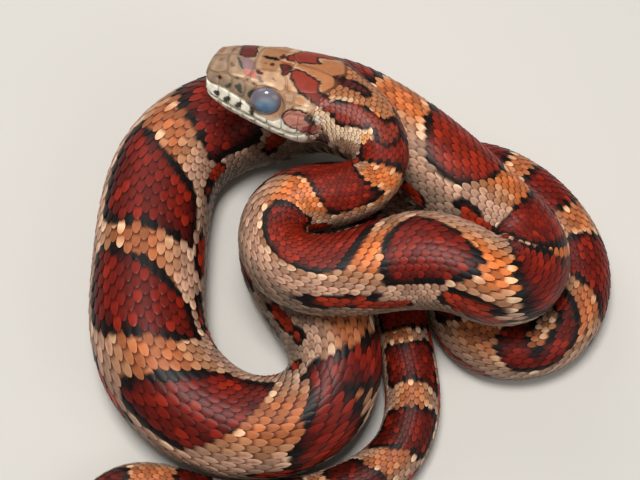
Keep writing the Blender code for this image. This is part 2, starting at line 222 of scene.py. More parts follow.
# Saddles of the tail, which shrink evenly: distance of the middle and half length.
TAIL_SADDLES = (
    (511.0, 3.9), (522.6, 3.5), (533.2, 3.2), (543.0, 2.9), (552.0, 2.6), (560.2, 2.3),
    (567.7, 2.1), (574.5, 1.9), (580.6, 1.7), (586.2, 1.5), (591.2, 1.3), (595.8, 1.1),
)
for middle, half in TAIL_SADDLES:
    SADDLES.append((*[middle - half] * 3, *[middle + half] * 3, -62, 62))

# Orange dashes inside a saddle: from distance and angle, to distance and angle, half width.
DASHES = ((386.5, -28, 392.6, 3, 0.95),)

# Colours as seen under plain light, in shares of full brightness.
RED = (0.42, 0.085, 0.045)
RED_DEEP = (0.27, 0.055, 0.045)
RED_WARM = (0.56, 0.16, 0.075)
BLACK = (0.060, 0.042, 0.042)
ORANGE = (0.80, 0.43, 0.21)
ORANGE_DULL = (0.68, 0.39, 0.23)
ORANGE_PALE = (0.84, 0.58, 0.34)
TAN = (0.66, 0.47, 0.34)
GREY = (0.50, 0.44, 0.38)
FLANK = (0.72, 0.57, 0.48)
FLANK_DARK = (0.46, 0.31, 0.25)
CREAM = (0.88, 0.78, 0.65)
SNOUT_TAN = (0.58, 0.48, 0.39)
HEAD_TAN = (0.70, 0.56, 0.44)
HEAD_BROWN = (0.62, 0.44, 0.30)
SPEAR = (0.63, 0.41, 0.27)
SPEAR_PALE = (0.76, 0.62, 0.48)
BRICK = (0.50, 0.19, 0.14)
BRICK_DARK = (0.38, 0.15, 0.13)
BRICK_PALE = (0.56, 0.30, 0.28)
MAUVE = (0.50, 0.40, 0.40)
ROSE = (0.74, 0.50, 0.44)
SALMON = (0.68, 0.42, 0.37)
SALMON_DARK = (0.58, 0.27, 0.17)
WHITE = (0.93, 0.91, 0.84)
OVAL = (0.27, 0.11, 0.11)
SMUDGE = (0.52, 0.38, 0.31)
SMUDGE_DARK = (0.40, 0.30, 0.23)
SLATE = (0.25, 0.25, 0.22)
THROAT = (0.64, 0.51, 0.41)
THROAT_DARK = (0.34, 0.28, 0.27)
PINK = (0.88, 0.66, 0.56)
BELLY_PALE = (0.82, 0.77, 0.68)
BELLY_CHECK = (0.10, 0.095, 0.10)
EYE_BLUE = (0.34, 0.49, 0.62)
EYE_DEEP = (0.24, 0.34, 0.48)
EYE_MAUVE = (0.51, 0.54, 0.58)
EYE_RIM = (0.40, 0.38, 0.42)

# Markings of the head and nape, painted in this order. Each has its colour, the width of its
# dark border in millimetres, whether it is repeated on the other side, and its outline as
# distances along the middle line and angles.
HEAD_MARKS = (
    (HEAD_BROWN, 0.0, False, ((11.0, -18), (11.0, 44), (15.2, 46), (15.2, 12), (14.6, 0), (14.8, -20))),
    (SMUDGE, 0.0, False, ((2.9, 3), (4.3, 2), (4.3, 22), (3.4, 24))),
    (SMUDGE, 0.0, False, ((3.9, -12), (4.9, -13), (5.0, -6), (4.2, -5))),
    (SMUDGE, 0.0, False, ((5.2, 6), (6.2, 5), (6.2, 16), (5.3, 17))),
    (SMUDGE_DARK, 0.0, True, ((6.2, -15), (6.5, -22), (7.2, -25), (7.4, -19), (6.8, -14))),
    (SMUDGE, 0.0, True, ((4.4, -50), (5.0, -46), (6.0, -48), (6.3, -55), (5.6, -59), (4.6, -56))),
    (BRICK_DARK, 0.22, False, (
        (7.0, -1), (9.8, -3), (10.2, 5), (9.7, 12), (9.4, 30), (9.2, 48), (7.0, 48), (6.9, 20))),
    (MAUVE, 0.0, False, (
        (7.0, -1), (7.2, -6), (8.0, -14), (8.6, -22), (9.2, -27), (10.4, -22), (11.3, -19),
        (10.6, -11), (9.8, -4))),
    (SLATE, 0.0, False, ((7.0, -3), (7.6, -4), (8.9, -20), (9.2, -27), (8.6, -24), (7.6, -11))),
    (SALMON, 0.0, False, ((8.9, -24), (9.4, -33), (10.6, -37), (11.7, -35), (11.6, -27), (10.6, -22))),
    (OVAL, 0.0, False, ((10.9, -19), (11.8, -20), (12.8, -25), (12.3, -29), (11.2, -25))),
    (MAUVE, 0.0, False, ((11.6, -31), (12.2, -30), (13.2, -36), (13.2, -41), (12.2, -40))),
    (BLACK, 0.0, False, ((10.9, 1.2), (12.0, -0.6), (13.4, -1.0), (14.3, -0.4), (14.2, 0.8), (12.6, 1.4))),
    (OVAL, 0.0, False, ((12.9, -5), (13.2, -9), (13.8, -9.5), (13.8, -5), (13.4, -3.5))),
    (SMUDGE_DARK, 0.0, False, ((12.0, -6), (12.2, -9), (12.7, -8), (12.5, -5.5))),
    (SMUDGE_DARK, 0.0, False, ((14.3, -30), (15.2, -31), (15.1, -28.5), (14.4, -28.0))),
    (HEAD_BROWN, 0.0, True, ((16.4, -32), (17.0, -40), (17.8, -43), (18.2, -37), (17.4, -32))),
    (SPEAR, 0.0, False, (
        (16.6, -0.6), (17.6, -2), (18.9, -3.5), (20.6, -7.5), (22.3, -10), (22.4, -20), (22.8, -24),
        (24.0, -23.5), (25.0, -29), (26.0, -28), (27.2, -23), (28.4, -17), (29.4, -12),
        (30.6, -9), (31.4, -5), (32.2, 1), (32.7, 8), (32.9, 16), (32.8, 28), (32.0, 40),
        (30.4, 44), (28.6, 42), (26.2, 33), (24.0, 28), (22.6, 24), (21.2, 18), (20.4, 13),
        (20.8, 7), (20.6, 3.5), (19.4, 1.5), (18.0, 0.3))),
    (SPEAR_PALE, 0.0, False, (
        (24.6, -26), (25.2, -30), (26.4, -28), (28.2, -19), (29.6, -12), (30.8, -9), (31.6, -4),
        (31.0, -3), (29.6, -8), (28.0, -14), (26.2, -23))),
    (OVAL, 0.40, False, (
        (22.9, 0), (23.8, -3), (25.0, -5), (26.3, -5.5), (27.2, -2.5), (28.2, 0), (29.0, 1),
        (29.7, 4), (29.7, 10), (29.3, 20), (28.5, 20), (27.3, 16), (26.1, 12), (25.1, 8),
        (24.3, 4), (23.4, 1.5))),
    (BRICK_DARK, 0.26, False, (
        (14.5, -2.0), (15.0, -9), (15.6, -17), (16.0, -20), (16.6, -17), (17.1, -8), (17.0, -2.2))),
    (SALMON_DARK, 0.0, False, ((14.4, -0.3), (16.9, -0.3), (16.9, -2.2), (14.6, -2.2))),
    (OVAL, 0.0, False, ((14.0, 1.5), (14.4, 0.6), (15.2, 1.4), (15.1, 7), (14.2, 8))),
    (BRICK, 0.28, False, (
        (15.0, 0.8), (16.5, 0.3), (18.2, 0.6), (19.5, 2.2), (20.7, 4), (20.9, 6), (20.2, 9),
        (20.0, 14), (20.6, 18), (21.4, 20), (22.2, 25), (22.2, 46), (17.4, 46), (17.0, 28),
        (16.3, 16), (15.3, 9))),
    (BRICK, 0.28, False, (
        (17.1, -4.5), (17.0, -20), (18.0, -25), (18.7, -33), (19.4, -37), (20.6, -39.5),
        (21.6, -43.5), (22.6, -47), (23.6, -49), (24.4, -52), (24.9, -45), (25.0, -34),
        (24.4, -28), (23.6, -25), (22.6, -26.5), (22.2, -20), (22.2, -11), (20.6, -8.5),
        (18.8, -4.2))),
    (BLACK, 0.0, False, ((22.8, -26), (23.4, -24), (24.4, -27), (25.1, -31), (24.6, -35), (23.8, -32))),
    (BLACK, 0.0, True, ((19.0, -33), (20.6, -38), (22.0, -44), (22.2, -47), (21.4, -44), (20.2, -40.5),
                        (19.2, -38))),
    (BRICK, 0.45, False, (
        (24.2, -52), (24.8, -59), (26.0, -60), (26.8, -63), (28.0, -66), (29.2, -64), (30.2, -57),
        (31.2, -49), (32.2, -42), (32.9, -35), (33.1, -24), (33.8, -20), (36.0, -20), (36.0, 40),
        (33.8, 36), (33.3, 20), (33.1, 8), (32.5, 0), (31.7, -5), (30.8, -10), (29.6, -13),
        (28.5, -19), (27.3, -25), (26.2, -30.5), (25.2, -32), (25.0, -38))),
    (BRICK_DARK, 0.45, False, (
        (22.6, 28), (24.4, 31), (26.4, 36), (28.4, 44), (30.4, 47), (32.2, 43), (33.4, 34),
        (36.0, 40), (36.0, 90), (33.0, 92), (30.0, 100), (27.0, 96), (25.0, 84), (23.4, 60))),
    (BRICK_PALE, 0.0, False, ((23.4, -46), (24.4, -49), (25.6, -42), (25.4, -36), (24.6, -35.5), (23.6, -38))),
    (BLACK, 0.0, False, ((25.0, -60), (26.2, -61), (27.4, -58), (27.2, -53), (26.3, -54), (25.6, -57))),
    (HEAD_TAN, 0.0, True, ((17.4, -47), (18.4, -62), (19.6, -60), (21.6, -57), (22.0, -48), (20.0, -41),
                           (18.4, -40))),
    (TAN, 0.0, True, ((19.0, -52), (20.6, -52), (21.2, -48), (20.6, -43), (19.2, -42))),
    # Partly the head's own cream patch behind the eye, partly a painted highlight along its front, repeated on both
    # sides.
    (CREAM, 0.0, True, ((19.2, -60), (20.4, -61), (22.6, -62), (24.4, -58), (24.0, -52), (22.8, -49),
                        (21.6, -51), (20.6, -55))),
    (PINK, 0.0, True, ((22.2, -60), (23.6, -62), (24.5, -58), (23.2, -56))),
    (CREAM, 0.0, True, (
        (23.2, -68), (24.0, -78), (25.5, -83), (26.4, -89), (27.2, -93), (28.2, -102), (29.0, -99),
        (30.0, -88), (31.0, -79), (32.2, -72), (33.4, -63), (34.4, -51), (34.8, -42), (34.5, -28),
        (33.8, -22), (33.0, -25), (32.9, -36), (32.2, -43), (31.2, -50), (30.2, -58), (29.0, -65),
        (28.0, -67), (26.8, -65), (25.4, -62), (24.6, -60), (23.6, -62))),
    (WHITE, 0.0, True, ((23.2, -69), (23.8, -78), (25.2, -82), (26.2, -80), (25.2, -72), (24.0, -67))),
    (ORANGE_PALE, 0.0, True, ((33.1, -38), (33.6, -48), (34.5, -47), (34.6, -34), (34.0, -25), (33.2, -28))),
    (THROAT, 0.0, True, (
        (25.4, -102), (26.4, -91), (27.2, -94), (28.2, -103), (29.2, -99), (30.2, -88), (31.2, -80),
        (32.4, -73), (33.6, -64), (34.6, -52), (35.4, -60), (36.4, -110), (33.0, -130), (25.6, -130))),
    (THROAT_DARK, 0.0, True, ((25.4, -104), (26.4, -91), (27.4, -95), (28.6, -108), (28.8, -130),
                              (25.4, -130))),
    (ROSE, 0.26, True, (
        (17.0, -78), (17.4, -70), (18.4, -64.5), (19.4, -62), (20.4, -61), (21.6, -63), (22.6, -66),
        (23.3, -69), (23.7, -76), (24.6, -81), (25.6, -86), (26.3, -89), (25.6, -96), (24.4, -100),
        (22.8, -92), (21.0, -88), (19.5, -86.5), (18.3, -86), (17.2, -81.5))),
    (BRICK_PALE, 0.0, True, ((21.6, -86), (22.6, -83), (24.4, -86), (25.0, -92), (24.2, -96), (22.8, -90))),
    (SLATE, 0.0, True, (
        (21.6, -71), (22.6, -69.5), (23.3, -73), (24.4, -81), (26.0, -87.5), (25.4, -88.5),
        (24.0, -84), (22.6, -78), (21.8, -75))),
    (SLATE, 0.0, True, ((18.6, -84), (20.4, -80.8), (23.0, -80.4), (20.4, -82))),
    (SLATE, 0.0, True, ((4.3, -84), (4.6, -88), (5.4, -88), (5.9, -82), (5.2, -79.5))),
    (SLATE, 0.0, True, ((6.2, -89), (6.9, -90), (7.9, -83), (7.5, -80.5), (6.7, -84))),
    (SLATE, 0.0, True, ((8.4, -88), (9.2, -90), (10.1, -84), (9.9, -80.5), (9.2, -83))),
    (SLATE, 0.0, True, ((11.4, -87), (11.6, -90), (12.6, -90), (12.2, -87), (12.0, -80), (11.4, -78))),
    (SLATE, 0.0, True, ((6.4, -66), (6.9, -69.5), (7.2, -67), (7.7, -59), (7.3, -57.5), (6.8, -62))),
    (SLATE, 0.0, True, ((8.2, -60), (8.6, -64), (9.2, -69), (9.9, -69), (9.7, -62), (9.4, -54), (8.8, -53),
                        (8.6, -57))),
    (SLATE, 0.0, True, ((10.7, -64), (11.0, -70), (11.7, -72), (11.9, -66), (12.3, -56), (11.7, -55),
                        (11.0, -59))),
    (SLATE, 0.0, True, ((8.1, -46), (8.6, -47), (8.9, -43), (8.3, -42))),
    (SLATE, 0.0, True, ((9.8, -43), (10.2, -44.5), (10.8, -41.5), (10.1, -40.5))),
    (SLATE, 0.0, True, ((11.2, -45), (11.8, -44), (12.6, -47), (12.0, -48.5))),
)

# Rear edges of the plates along the lips.
LIP_SUTURES = (2.75, 5.3, 7.4, 9.6, 12.0, 14.6, 17.1, 20.4, 23.4)

# Plates of the head on one side, as outlines on the head's surface.
HEAD_PLATES = (
    ("internasal", ((2.5, 0.3), (5.5, 0.3), (5.65, 12), (6.15, 26), (6.1, 36), (4.7, 42), (3.4, 40),
                    (2.6, 30), (2.45, 12))),
    ("prefrontal", ((5.75, 0.3), (10.25, 0.3), (10.4, 8), (10.7, 20), (10.2, 34), (9.3, 43), (7.4, 44),
                    (6.4, 38), (6.4, 26), (5.9, 12))),
    ("supraocular", ((10.95, 21), (10.5, 34), (10.9, 43.5), (12.2, 47), (13.2, 43.5), (15.2, 42),
                     (16.5, 44), (17.0, 38), (16.8, 26), (15.6, 14.5), (13.4, 17))),
    ("parietal", ((17.45, 0.3), (23.4, 0.3), (24.1, 9), (23.3, 23), (21.7, 33), (19.0, 39.5),
                  (17.3, 40), (17.1, 26), (15.9, 13.5))),
    ("prenasal", ((2.9, 43), (4.4, 44.5), (5.0, 44), (5.1, 48), (5.1, 56), (5.2, 62), (5.3, 69),
                  (3.4, 70), (2.7, 62))),
    ("postnasal", ((5.2, 44), (6.5, 40.5), (7.4, 46.5), (7.5, 58), (7.2, 70), (5.5, 69), (5.35, 62),
                   (5.3, 52))),
    ("loreal", ((7.65, 46.5), (9.4, 45.5), (10.1, 52), (10.15, 62), (9.9, 74), (7.5, 73), (7.4, 70),
                (7.7, 58))),
    ("preocular", ((9.6, 44.5), (10.7, 45.5), (11.9, 49), (11.5, 58), (11.4, 68), (11.7, 80), (10.2, 80),
                   (10.15, 74), (10.4, 62), (10.35, 51))),
    ("postocular", ((16.9, 45.5), (18.7, 41.5), (18.8, 56), (17.5, 57), (17.3, 51))),
    ("postocular_low", ((17.55, 59), (18.8, 58), (18.7, 69), (17.5, 76), (17.0, 80), (17.5, 68))),
    ("temporal", ((18.95, 41.5), (21.7, 35.5), (22.2, 46), (22.0, 56), (19.0, 56))),
    ("temporal_low", ((19.0, 58), (22.0, 58), (22.1, 69), (18.95, 69))),
    ("chin", ((3.5, 116), (7.8, 114), (8.8, 130), (8.6, 179), (3.7, 179))),
    ("chin_rear", ((9.1, 118), (12.8, 124), (14.4, 148), (13.8, 179), (9.0, 179), (9.2, 138))),
)
FRONTAL_PLATE = ((10.5, -8), (10.5, 8), (10.95, 19), (13.4, 15.2), (15.6, 12.3), (17.25, 0),
                 (15.6, -12.3), (13.4, -15.2), (10.95, -19))

# Nostril: distance along the middle line and angle to either side.
NOSTRIL = (5.2, 53.0)

# Height of the upper lip's plates: distance along the middle line and angle of their upper edge.
LIP_TOP = np.array(((2.0, 71), (6.4, 71), (8.5, 75), (10.5, 78), (12.4, 86.5), (15.6, 86.5), (17.4, 78),
                    (18.4, 70.5), (24.0, 70.5)))

# Tint of a scale's root, where the scale ahead shades it.
ROOT_TINT = (0.62, 0.50, 0.46)

# Tint of the bare skin between the scales.
BETWEEN = (0.50, 0.40, 0.36)

rng = np.random.default_rng(7)


def smooth(value, low, high):
    """Rises smoothly from 0 at low to 1 at high."""
    share = np.clip((np.asarray(value, float) - low) / (high - low), 0.0, 1.0)
    return share * share * (3.0 - 2.0 * share)


def bell(value, middle, spread):
    return np.exp(-((np.asarray(value, float) - middle) / spread) ** 2)


def mix(first, second, share):
    share = np.asarray(share, float)[..., None]
    return np.asarray(first, float) * (1.0 - share) + np.asarray(second, float) * share


def turned(vector, axis, angle):
    """The vector turned about an axis."""
    axis = axis / np.linalg.norm(axis)
    along = axis * np.dot(axis, vector)
    return along + (vector - along) * math.cos(angle) + np.cross(axis, vector) * math.sin(angle)


def natural_spline(stations):
    """Smooth curve through the stations, sampled closely."""
    knots = np.linalg.norm(np.diff(stations[:, :3], axis=0), axis=1) ** 0.5
    count = len(stations)
    system = np.zeros((count, count))
    known = np.zeros_like(stations)
    system[0, 0] = system[-1, -1] = 1.0
    for i in range(1, count - 1):
        before, after = knots[i - 1], knots[i]
        system[i, i - 1:i + 2] = before, 2.0 * (before + after), after
        rise_after = (stations[i + 1] - stations[i]) / after
        rise_before = (stations[i] - stations[i - 1]) / before
        known[i] = 3.0 * (rise_after - rise_before)
    bend = np.linalg.solve(system, known)
    points = []
    for i, span in enumerate(knots):
        cubic = (bend[i + 1] - bend[i]) / (3.0 * span)
        slope = (stations[i + 1] - stations[i]) / span - span * (2.0 * bend[i] + bend[i + 1]) / 3.0
        for u in np.linspace(0.0, span, SPAN_SAMPLES, endpoint=False):
            points.append(stations[i] + slope * u + bend[i] * u ** 2 + cubic * u ** 3)
    points.append(stations[-1])
    return np.array(points)


def even_samples(points, step):
    """Points at even distances along a curve, with those distances."""
    spans = np.linalg.norm(np.diff(points[:, :3], axis=0), axis=1)
    run = np.concatenate([[0.0], np.cumsum(spans)])
    places = np.linspace(0.0, run[-1], int(run[-1] / step) + 1)
    columns = [np.interp(places, run, points[:, k]) for k in range(points.shape[1])]
    return places, np.stack(columns, axis=-1)


def ease(points):
    """Evens out the bends with a bell-shaped average along the curve."""
    reach = int(EASING_REACH * EASING / SAMPLE_STEP)
    weights = np.exp(-0.5 * (np.arange(-reach, reach + 1) * SAMPLE_STEP / EASING) ** 2)
    weights /= weights.sum()
    head = 2.0 * points[0] - points[1:reach + 1][::-1]
    tail = 2.0 * points[-1] - points[-reach - 1:-1][::-1]
    longer = np.concatenate([head, points, tail])
    return np.stack([np.convolve(column, weights, "valid") for column in longer.T], axis=-1)


def head_axes():
    """Forward, left and up of the head."""
    up = np.array((0.0, 0.0, 1.0))
    level = turned(np.array((-1.0, 0.0, 0.0)), up, -HEAD_TURN)
    forward = level * math.cos(HEAD_DIP) - up * math.sin(HEAD_DIP)
    level_up = up - forward * forward[2]
    level_up /= np.linalg.norm(level_up)
    tilted = turned(level_up, forward, HEAD_TILT)
    return forward, np.cross(tilted, forward), tilted


class MiddleLine:
    """The animal's middle line from the snout to the tail, with its frames, in even steps."""

    def __init__(self):
        forward = head_axes()[0]
        lead = [(*(np.array(LINE_START) - forward * d), NECK_WIDTH) for d in HEAD_STATIONS]
        grounded = [(x, y, z if z else BELLY_DEPTH * r, r) for x, y, z, r in [*lead, *ROUTE]]
        _, curve = even_samples(natural_spline(np.array(grounded)), SAMPLE_STEP)
        places, curve = even_samples(ease(curve), SAMPLE_STEP)
        curve[:, 2] = np.maximum(curve[:, 2], BELLY_DEPTH * curve[:, 3])
        self.length = places[-1]
        self.places = np.arange(0.0, self.length, TABLE_STEP)
        table = self.read(places, curve, self.places)
        before = self.read(places, curve, self.places - WAY_REACH)
        after = self.read(places, curve, self.places + WAY_REACH)
        way = (after - before)[:, :3]
        way /= np.linalg.norm(way, axis=1, keepdims=True)
        level_up = np.array((0.0, 0.0, 1.0)) - way * way[:, 2:3]
        level_up /= np.linalg.norm(level_up, axis=1, keepdims=True)
        fade = np.clip(1.0 - (self.places - HEAD_LENGTH) / TILT_FADE, 0.0, 1.0)
        tilt = (-HEAD_TILT * fade * fade)[:, None]
        up = level_up * np.cos(tilt) + np.cross(way, level_up) * np.sin(tilt)
        left = np.cross(up, way)
        self.table = np.concatenate([table, way, left, up], axis=1)

    @staticmethod
    def read(places, columns, at):
        return np.stack([np.interp(at, places, column) for column in columns.T], axis=-1)

    def at(self, place):
        """Middle, half width, way, left and up at distances from the snout."""
        exact = np.clip(place / TABLE_STEP, 0.0, len(self.places) - 1.001)
        low = exact.astype(int)
        share = (exact - low)[..., None]
        row = self.table[low] * (1.0 - share) + self.table[low + 1] * share
        return row[..., :3], row[..., 3], row[..., 4:7], row[..., 7:10], row[..., 10:13]


LINE = MiddleLine()


def profile_table():
    """The head's profile read closely through a smooth curve, one column for each measure."""
    stops = np.linspace(HEAD_PROFILE[0, 0], HEAD_PROFILE[-1, 0], 240)
    columns = []
    for k in range(1, 5):
        pairs = np.stack([HEAD_PROFILE[:, 0], HEAD_PROFILE[:, k], 0.0 * HEAD_PROFILE[:, 0]], axis=-1)
        curve = natural_spline(pairs)
        columns.append(np.interp(stops, curve[:, 0], curve[:, 1]))
    return stops, columns


PROFILE_STOPS, PROFILE_COLUMNS = profile_table()


def head_outline(place, angle):
    """Side and height of the head's surface, angles in radians, without the finer forms."""
    width, crown, jaw, mouth = (np.interp(place, PROFILE_STOPS, column) for column in PROFILE_COLUMNS)
    nose = np.clip((place - TIP_PLACE) / NOSE_ROUNDING, 0.0, 1.0)
    rounding = np.sqrt(1.0 - (1.0 - nose) ** 2)
    width, crown, jaw, mouth = width * rounding, crown * rounding, jaw * rounding, mouth * nose
    across, height = np.sin(angle), np.cos(angle)
    upper = height >= 0.0
    power = np.where(upper, CROWN_SQUARENESS, JAW_SQUARENESS)
    tuck = JAW_TUCK * np.clip(-3.0 * height, 0.0, 1.0)
    side = np.sign(across) * np.abs(across) ** power * width * (1.0 - tuck)
    rise = np.abs(height) ** power
    level = np.where(upper, mouth + rise * (crown - mouth), mouth - rise * (jaw + mouth))
    degrees = np.abs(np.degrees(angle))
    brow = bell(place, EYE_PLACE[0], BROW_LENGTH) * bell(degrees, BROW_ANGLE, BROW_SPREAD)
    return side + np.sign(side) * BROW_REACH * brow, level + BROW_LIFT * brow


def outline(place, angle):
    """Side and height of the surface at distances from the snout and angles in radians."""
    angle = np.arctan2(np.sin(angle), np.cos(angle))
    width = LINE.at(place)[1]
    height = np.cos(angle)
    belly = -np.minimum(BELLY_DEPTH, BELLY_FULLNESS * np.abs(height) ** BELLY_POWER)
    side = width * np.sin(angle)
    level = width * np.where(height >= 0.0, height * BACK_HEIGHT, belly)
    share = smooth(place, *NAPE_BLEND)
    head_side, head_level = head_outline(np.minimum(place, HEAD_LENGTH), angle)
    return head_side * (1.0 - share) + side * share, head_level * (1.0 - share) + level * share


def surface(place, angle, lift):
    """Points over the solids' surface, raised by lift, and the outward direction there."""
    place, angle, lift = np.broadcast_arrays(place, angle, lift)
    middle, _, way, left, up = LINE.at(place)
    side, level = outline(place, angle)
    nudge = 0.01
    side_on, level_on = outline(place, angle + nudge)
    side_off, level_off = outline(place, angle - nudge)
    across = -(level_on - level_off)
    rise = side_on - side_off
    size = np.hypot(across, rise) + 1e-9
    across, rise = across / size, rise / size
    step = 0.05
    side_back, level_back = outline(place + step, angle)
    side_fore, level_fore = outline(np.maximum(place - step, TIP_PLACE), angle)
    growth = ((side_back - side_fore) * across + (level_back - level_fore) * rise) / (2.0 * step)
    growth = np.clip(growth, -0.3, 6.0) * (1.0 - smooth(place, 24.0, 30.0))
    normal = left * across[..., None] + up * rise[..., None] - way * growth[..., None]
    normal /= np.linalg.norm(normal, axis=-1, keepdims=True)
    chin = CHIN_SETBACK * np.clip(1.0 - (place - TIP_PLACE) / CHIN_LENGTH, 0.0, 1.0)
    set_back = chin * np.clip(-2.0 * np.cos(angle), 0.0, 1.0)
    point = middle + left * side[..., None] + up * level[..., None] + way * set_back[..., None]
    point = point + normal * lift[..., None]
    point[..., 2] = np.maximum(point[..., 2], 0.02)
    point[..., 0] -= COIL_MIDDLE[0]
    point[..., 1] -= COIL_MIDDLE[1]
    return point, normal


def arc_table():
    """Angles round the body's section and the distances along its outline, in half widths."""
    angles = np.linspace(-math.pi, math.pi, 1441)
    height = np.cos(angles)
    belly = -np.minimum(BELLY_DEPTH, BELLY_FULLNESS * np.abs(height) ** BELLY_POWER)
    level = np.where(height >= 0.0, height * BACK_HEIGHT, belly)
    steps = np.hypot(np.diff(np.sin(angles)), np.diff(level))
    arcs = np.concatenate([[0.0], np.cumsum(steps)])
    return angles, arcs - arcs[len(arcs) // 2]


ARC_ANGLES, ARCS = arc_table()
HALF_ROUND = ARCS[-1]


def arc_of(angle):
    return np.interp(angle, ARC_ANGLES, ARCS)


def angle_of(arc):
    """Angle at a distance along the outline, in half widths, from the section's top."""
    wrapped = (arc + HALF_ROUND) % (2.0 * HALF_ROUND) - HALF_ROUND
    return np.interp(wrapped, ARCS, ARC_ANGLES)


def head_arc_table():
    """Degrees round the middle of the head and the millimetres along its outline."""
    degrees = np.linspace(0.0, 180.0, 721)
    side, level = head_outline(np.full(degrees.shape, EYE_PLACE[0]), np.radians(degrees))
    steps = np.hypot(np.diff(side), np.diff(level))
    return degrees, np.concatenate([[0.0], np.cumsum(steps)])


HEAD_DEGREES, HEAD_ARCS = head_arc_table()


def head_arc(degrees):
    """Millimetres round the head from the middle of the crown, signed like the angle."""
    return np.sign(degrees) * np.interp(np.abs(degrees), HEAD_DEGREES, HEAD_ARCS)


def head_turn(arc):
    """Degrees round the head at millimetres from the middle of the crown."""
    return np.sign(arc) * np.interp(np.abs(arc), HEAD_ARCS, HEAD_DEGREES)


def back_middle(place):
    """Angle in radians of the back's middle."""
    return np.radians(np.interp(place, BACK_TURN[:, 0], BACK_TURN[:, 1]))


def offset_from(degrees, centre):
    """Angle from a centre, between -180 and 180."""
    return (degrees - centre + 180.0) % 360.0 - 180.0


def edge_at(share, low, middle, high):
    """Distance of a saddle's edge at a share of its reach from -1 to 1."""
    return middle + share * 0.5 * (high - low) + share * share * (0.5 * (high + low) - middle)


def saddle_depth(place, degrees, width):
    """How deep a point lies inside the saddles, in millimetres, less than zero outside."""
    depth = np.full(place.shape, -9.0)
    for *edges, low, high in SADDLES:
        near = (place > min(edges) - 4.0) & (place < max(edges) + 4.0)
        if not near.any():
            continue
        reach = 0.5 * (high - low)
        share = offset_from(degrees[near], 0.5 * (low + high)) / reach
        held = np.clip(share, -1.2, 1.2)
        sides = np.stack([
            place[near] - edge_at(held, *edges[:3]),
            edge_at(held, *edges[3:]) - place[near],
            (1.0 - np.abs(share)) * reach * width[near] / 57.3,
        ])
        rounding = 1.5
        soft = -np.log(np.exp(-rounding * np.clip(sides, -20.0, 20.0)).sum(axis=0)) / rounding
        depth[near] = np.maximum(depth[near], soft)
    for first, turn, last, end_turn, half in DASHES:
        share = np.clip((place - first) / (last - first), 0.0, 1.0)
        aside = (degrees - turn - share * (end_turn - turn)) * width / 57.3
        away = np.hypot(place - first - share * (last - first), 0.55 * aside)
        depth = np.minimum(depth, np.where(np.abs(place - first) < 20.0, away - half, 9.0))
    return depth


def blotch_depth(place, degrees, around, width):
    """How deep a point lies inside the small blotches of the flanks."""
    depth = np.full(place.shape, -9.0)
    for first, second in zip(SADDLES, SADDLES[1:]):
        middle = 0.5 * (first[4] + second[1])
        half = 0.20 * (second[4] - first[1]) * 0.5 + 0.9
        near = np.abs(place - middle) < half + 3.0
        along = np.abs(place[near] - middle) / half
        aside = np.abs(around[near] - 80.0) / 12.0
        depth[near] = np.maximum(depth[near], (1.0 - np.hypot(along, aside)) * half)
    for middle, half, turn, spread in BLOTCHES:
        near = np.abs(place - middle) < half + 3.0
        along = np.abs(place[near] - middle) / half
        aside = np.abs(offset_from(degrees[near], turn)) / spread
        level = (along ** 2.6 + aside ** 2.6) ** (1.0 / 2.6)
        size = np.minimum(half, spread * width[near] / 57.3)
        depth[near] = np.maximum(depth[near], (1.0 - level) * size)
    return depth


def body_markings(place, degrees, fleck):
    """Colour of the body at places and angles, with a random number for each scale."""
    turn = np.degrees(back_middle(place))
    around = np.abs(offset_from(degrees, turn))
    width = LINE.at(place)[1]
    size = np.clip(width / 9.0, 0.25, 1.1)
    inside = saddle_depth(place, degrees, width) + 0.36 * size * (fleck - 0.5)
    wider = 16.0 * (1.0 - smooth(place, 42.0, 66.0))
    orange = mix(ORANGE, ORANGE_DULL, smooth(place, 110.0, 190.0))
    ground = mix(orange, TAN, smooth(around - wider + 14.0 * (fleck - 0.5), 17.0, 33.0))
    ground = mix(ground, FLANK, smooth(around - wider + 10.0 * (fleck - 0.5), 36.0, 52.0))
    ground = mix(ground, GREY, 0.75 * smooth(around, 58.0, 95.0))
    ground = mix(ground, GREY, (0.35 * smooth(place, 262.0, 285.0) * smooth(around, 20.0, 60.0)))
    halo = bell(inside, -0.55 * size, 0.5 * size) * smooth(fleck, 0.25, 0.9)
    ground = mix(ground, CREAM, 0.70 * halo)
    small = blotch_depth(place, degrees, around, width) + 0.3 * size * (fleck - 0.5)
    dark = mix(BLACK, RED_WARM, smooth(small, 0.55 * size, 1.0 * size))
    ground = mix(ground, dark, smooth(small, -0.12, 0.12))
    red = mix(RED_DEEP, RED, smooth(inside / size + fleck, 1.2, 3.2))
    # Painted light: the reds are lit up towards a brighter warm red at the neck and round 68 and 140 mm.
    painted_light = 0.35 * (1.0 - smooth(place, 45.0, 60.0)) + 0.55 * bell(place, 68.0, 10.0)
    painted_light += 0.60 * bell(place, 140.0, 12.0)
    red = mix(red, RED_WARM, painted_light)
    # Painted shade: the reds darken from 425 to 470 mm on, towards the tail.
    red = red * (1.0 - 0.30 * smooth(place, 425.0, 470.0))[..., None]
    red = mix(red, RED_WARM, 0.40 * smooth(fleck, 0.75, 1.0))
    saddle = mix(BLACK, red, smooth(inside / size, 0.65, 1.45))
    colour = mix(ground, saddle, smooth(inside, -0.10, 0.12))
    return colour * (0.80 + 0.34 * fleck)[..., None]


def belly_markings(place, side, fleck):
    """Pale belly with dark checks. side runs from -1 to 1 across a scute."""
    check = (np.sin(place * 1.9 + 4.0 * fleck) * np.sign(side) > 0.15) & (np.abs(side) < 0.92)
    colour = mix(BELLY_PALE, BELLY_CHECK, 0.85 * check)
    return mix(colour, GREY, 0.8 * smooth(np.abs(side), 0.80, 1.0))


def linear(colour):
    """Turns brightness as seen into the light that a shader takes."""
    colour = np.clip(colour, 0.0, 1.0)
    return np.where(colour <= 0.04045, colour / 12.92, ((colour + 0.055) / 1.055) ** 2.4)


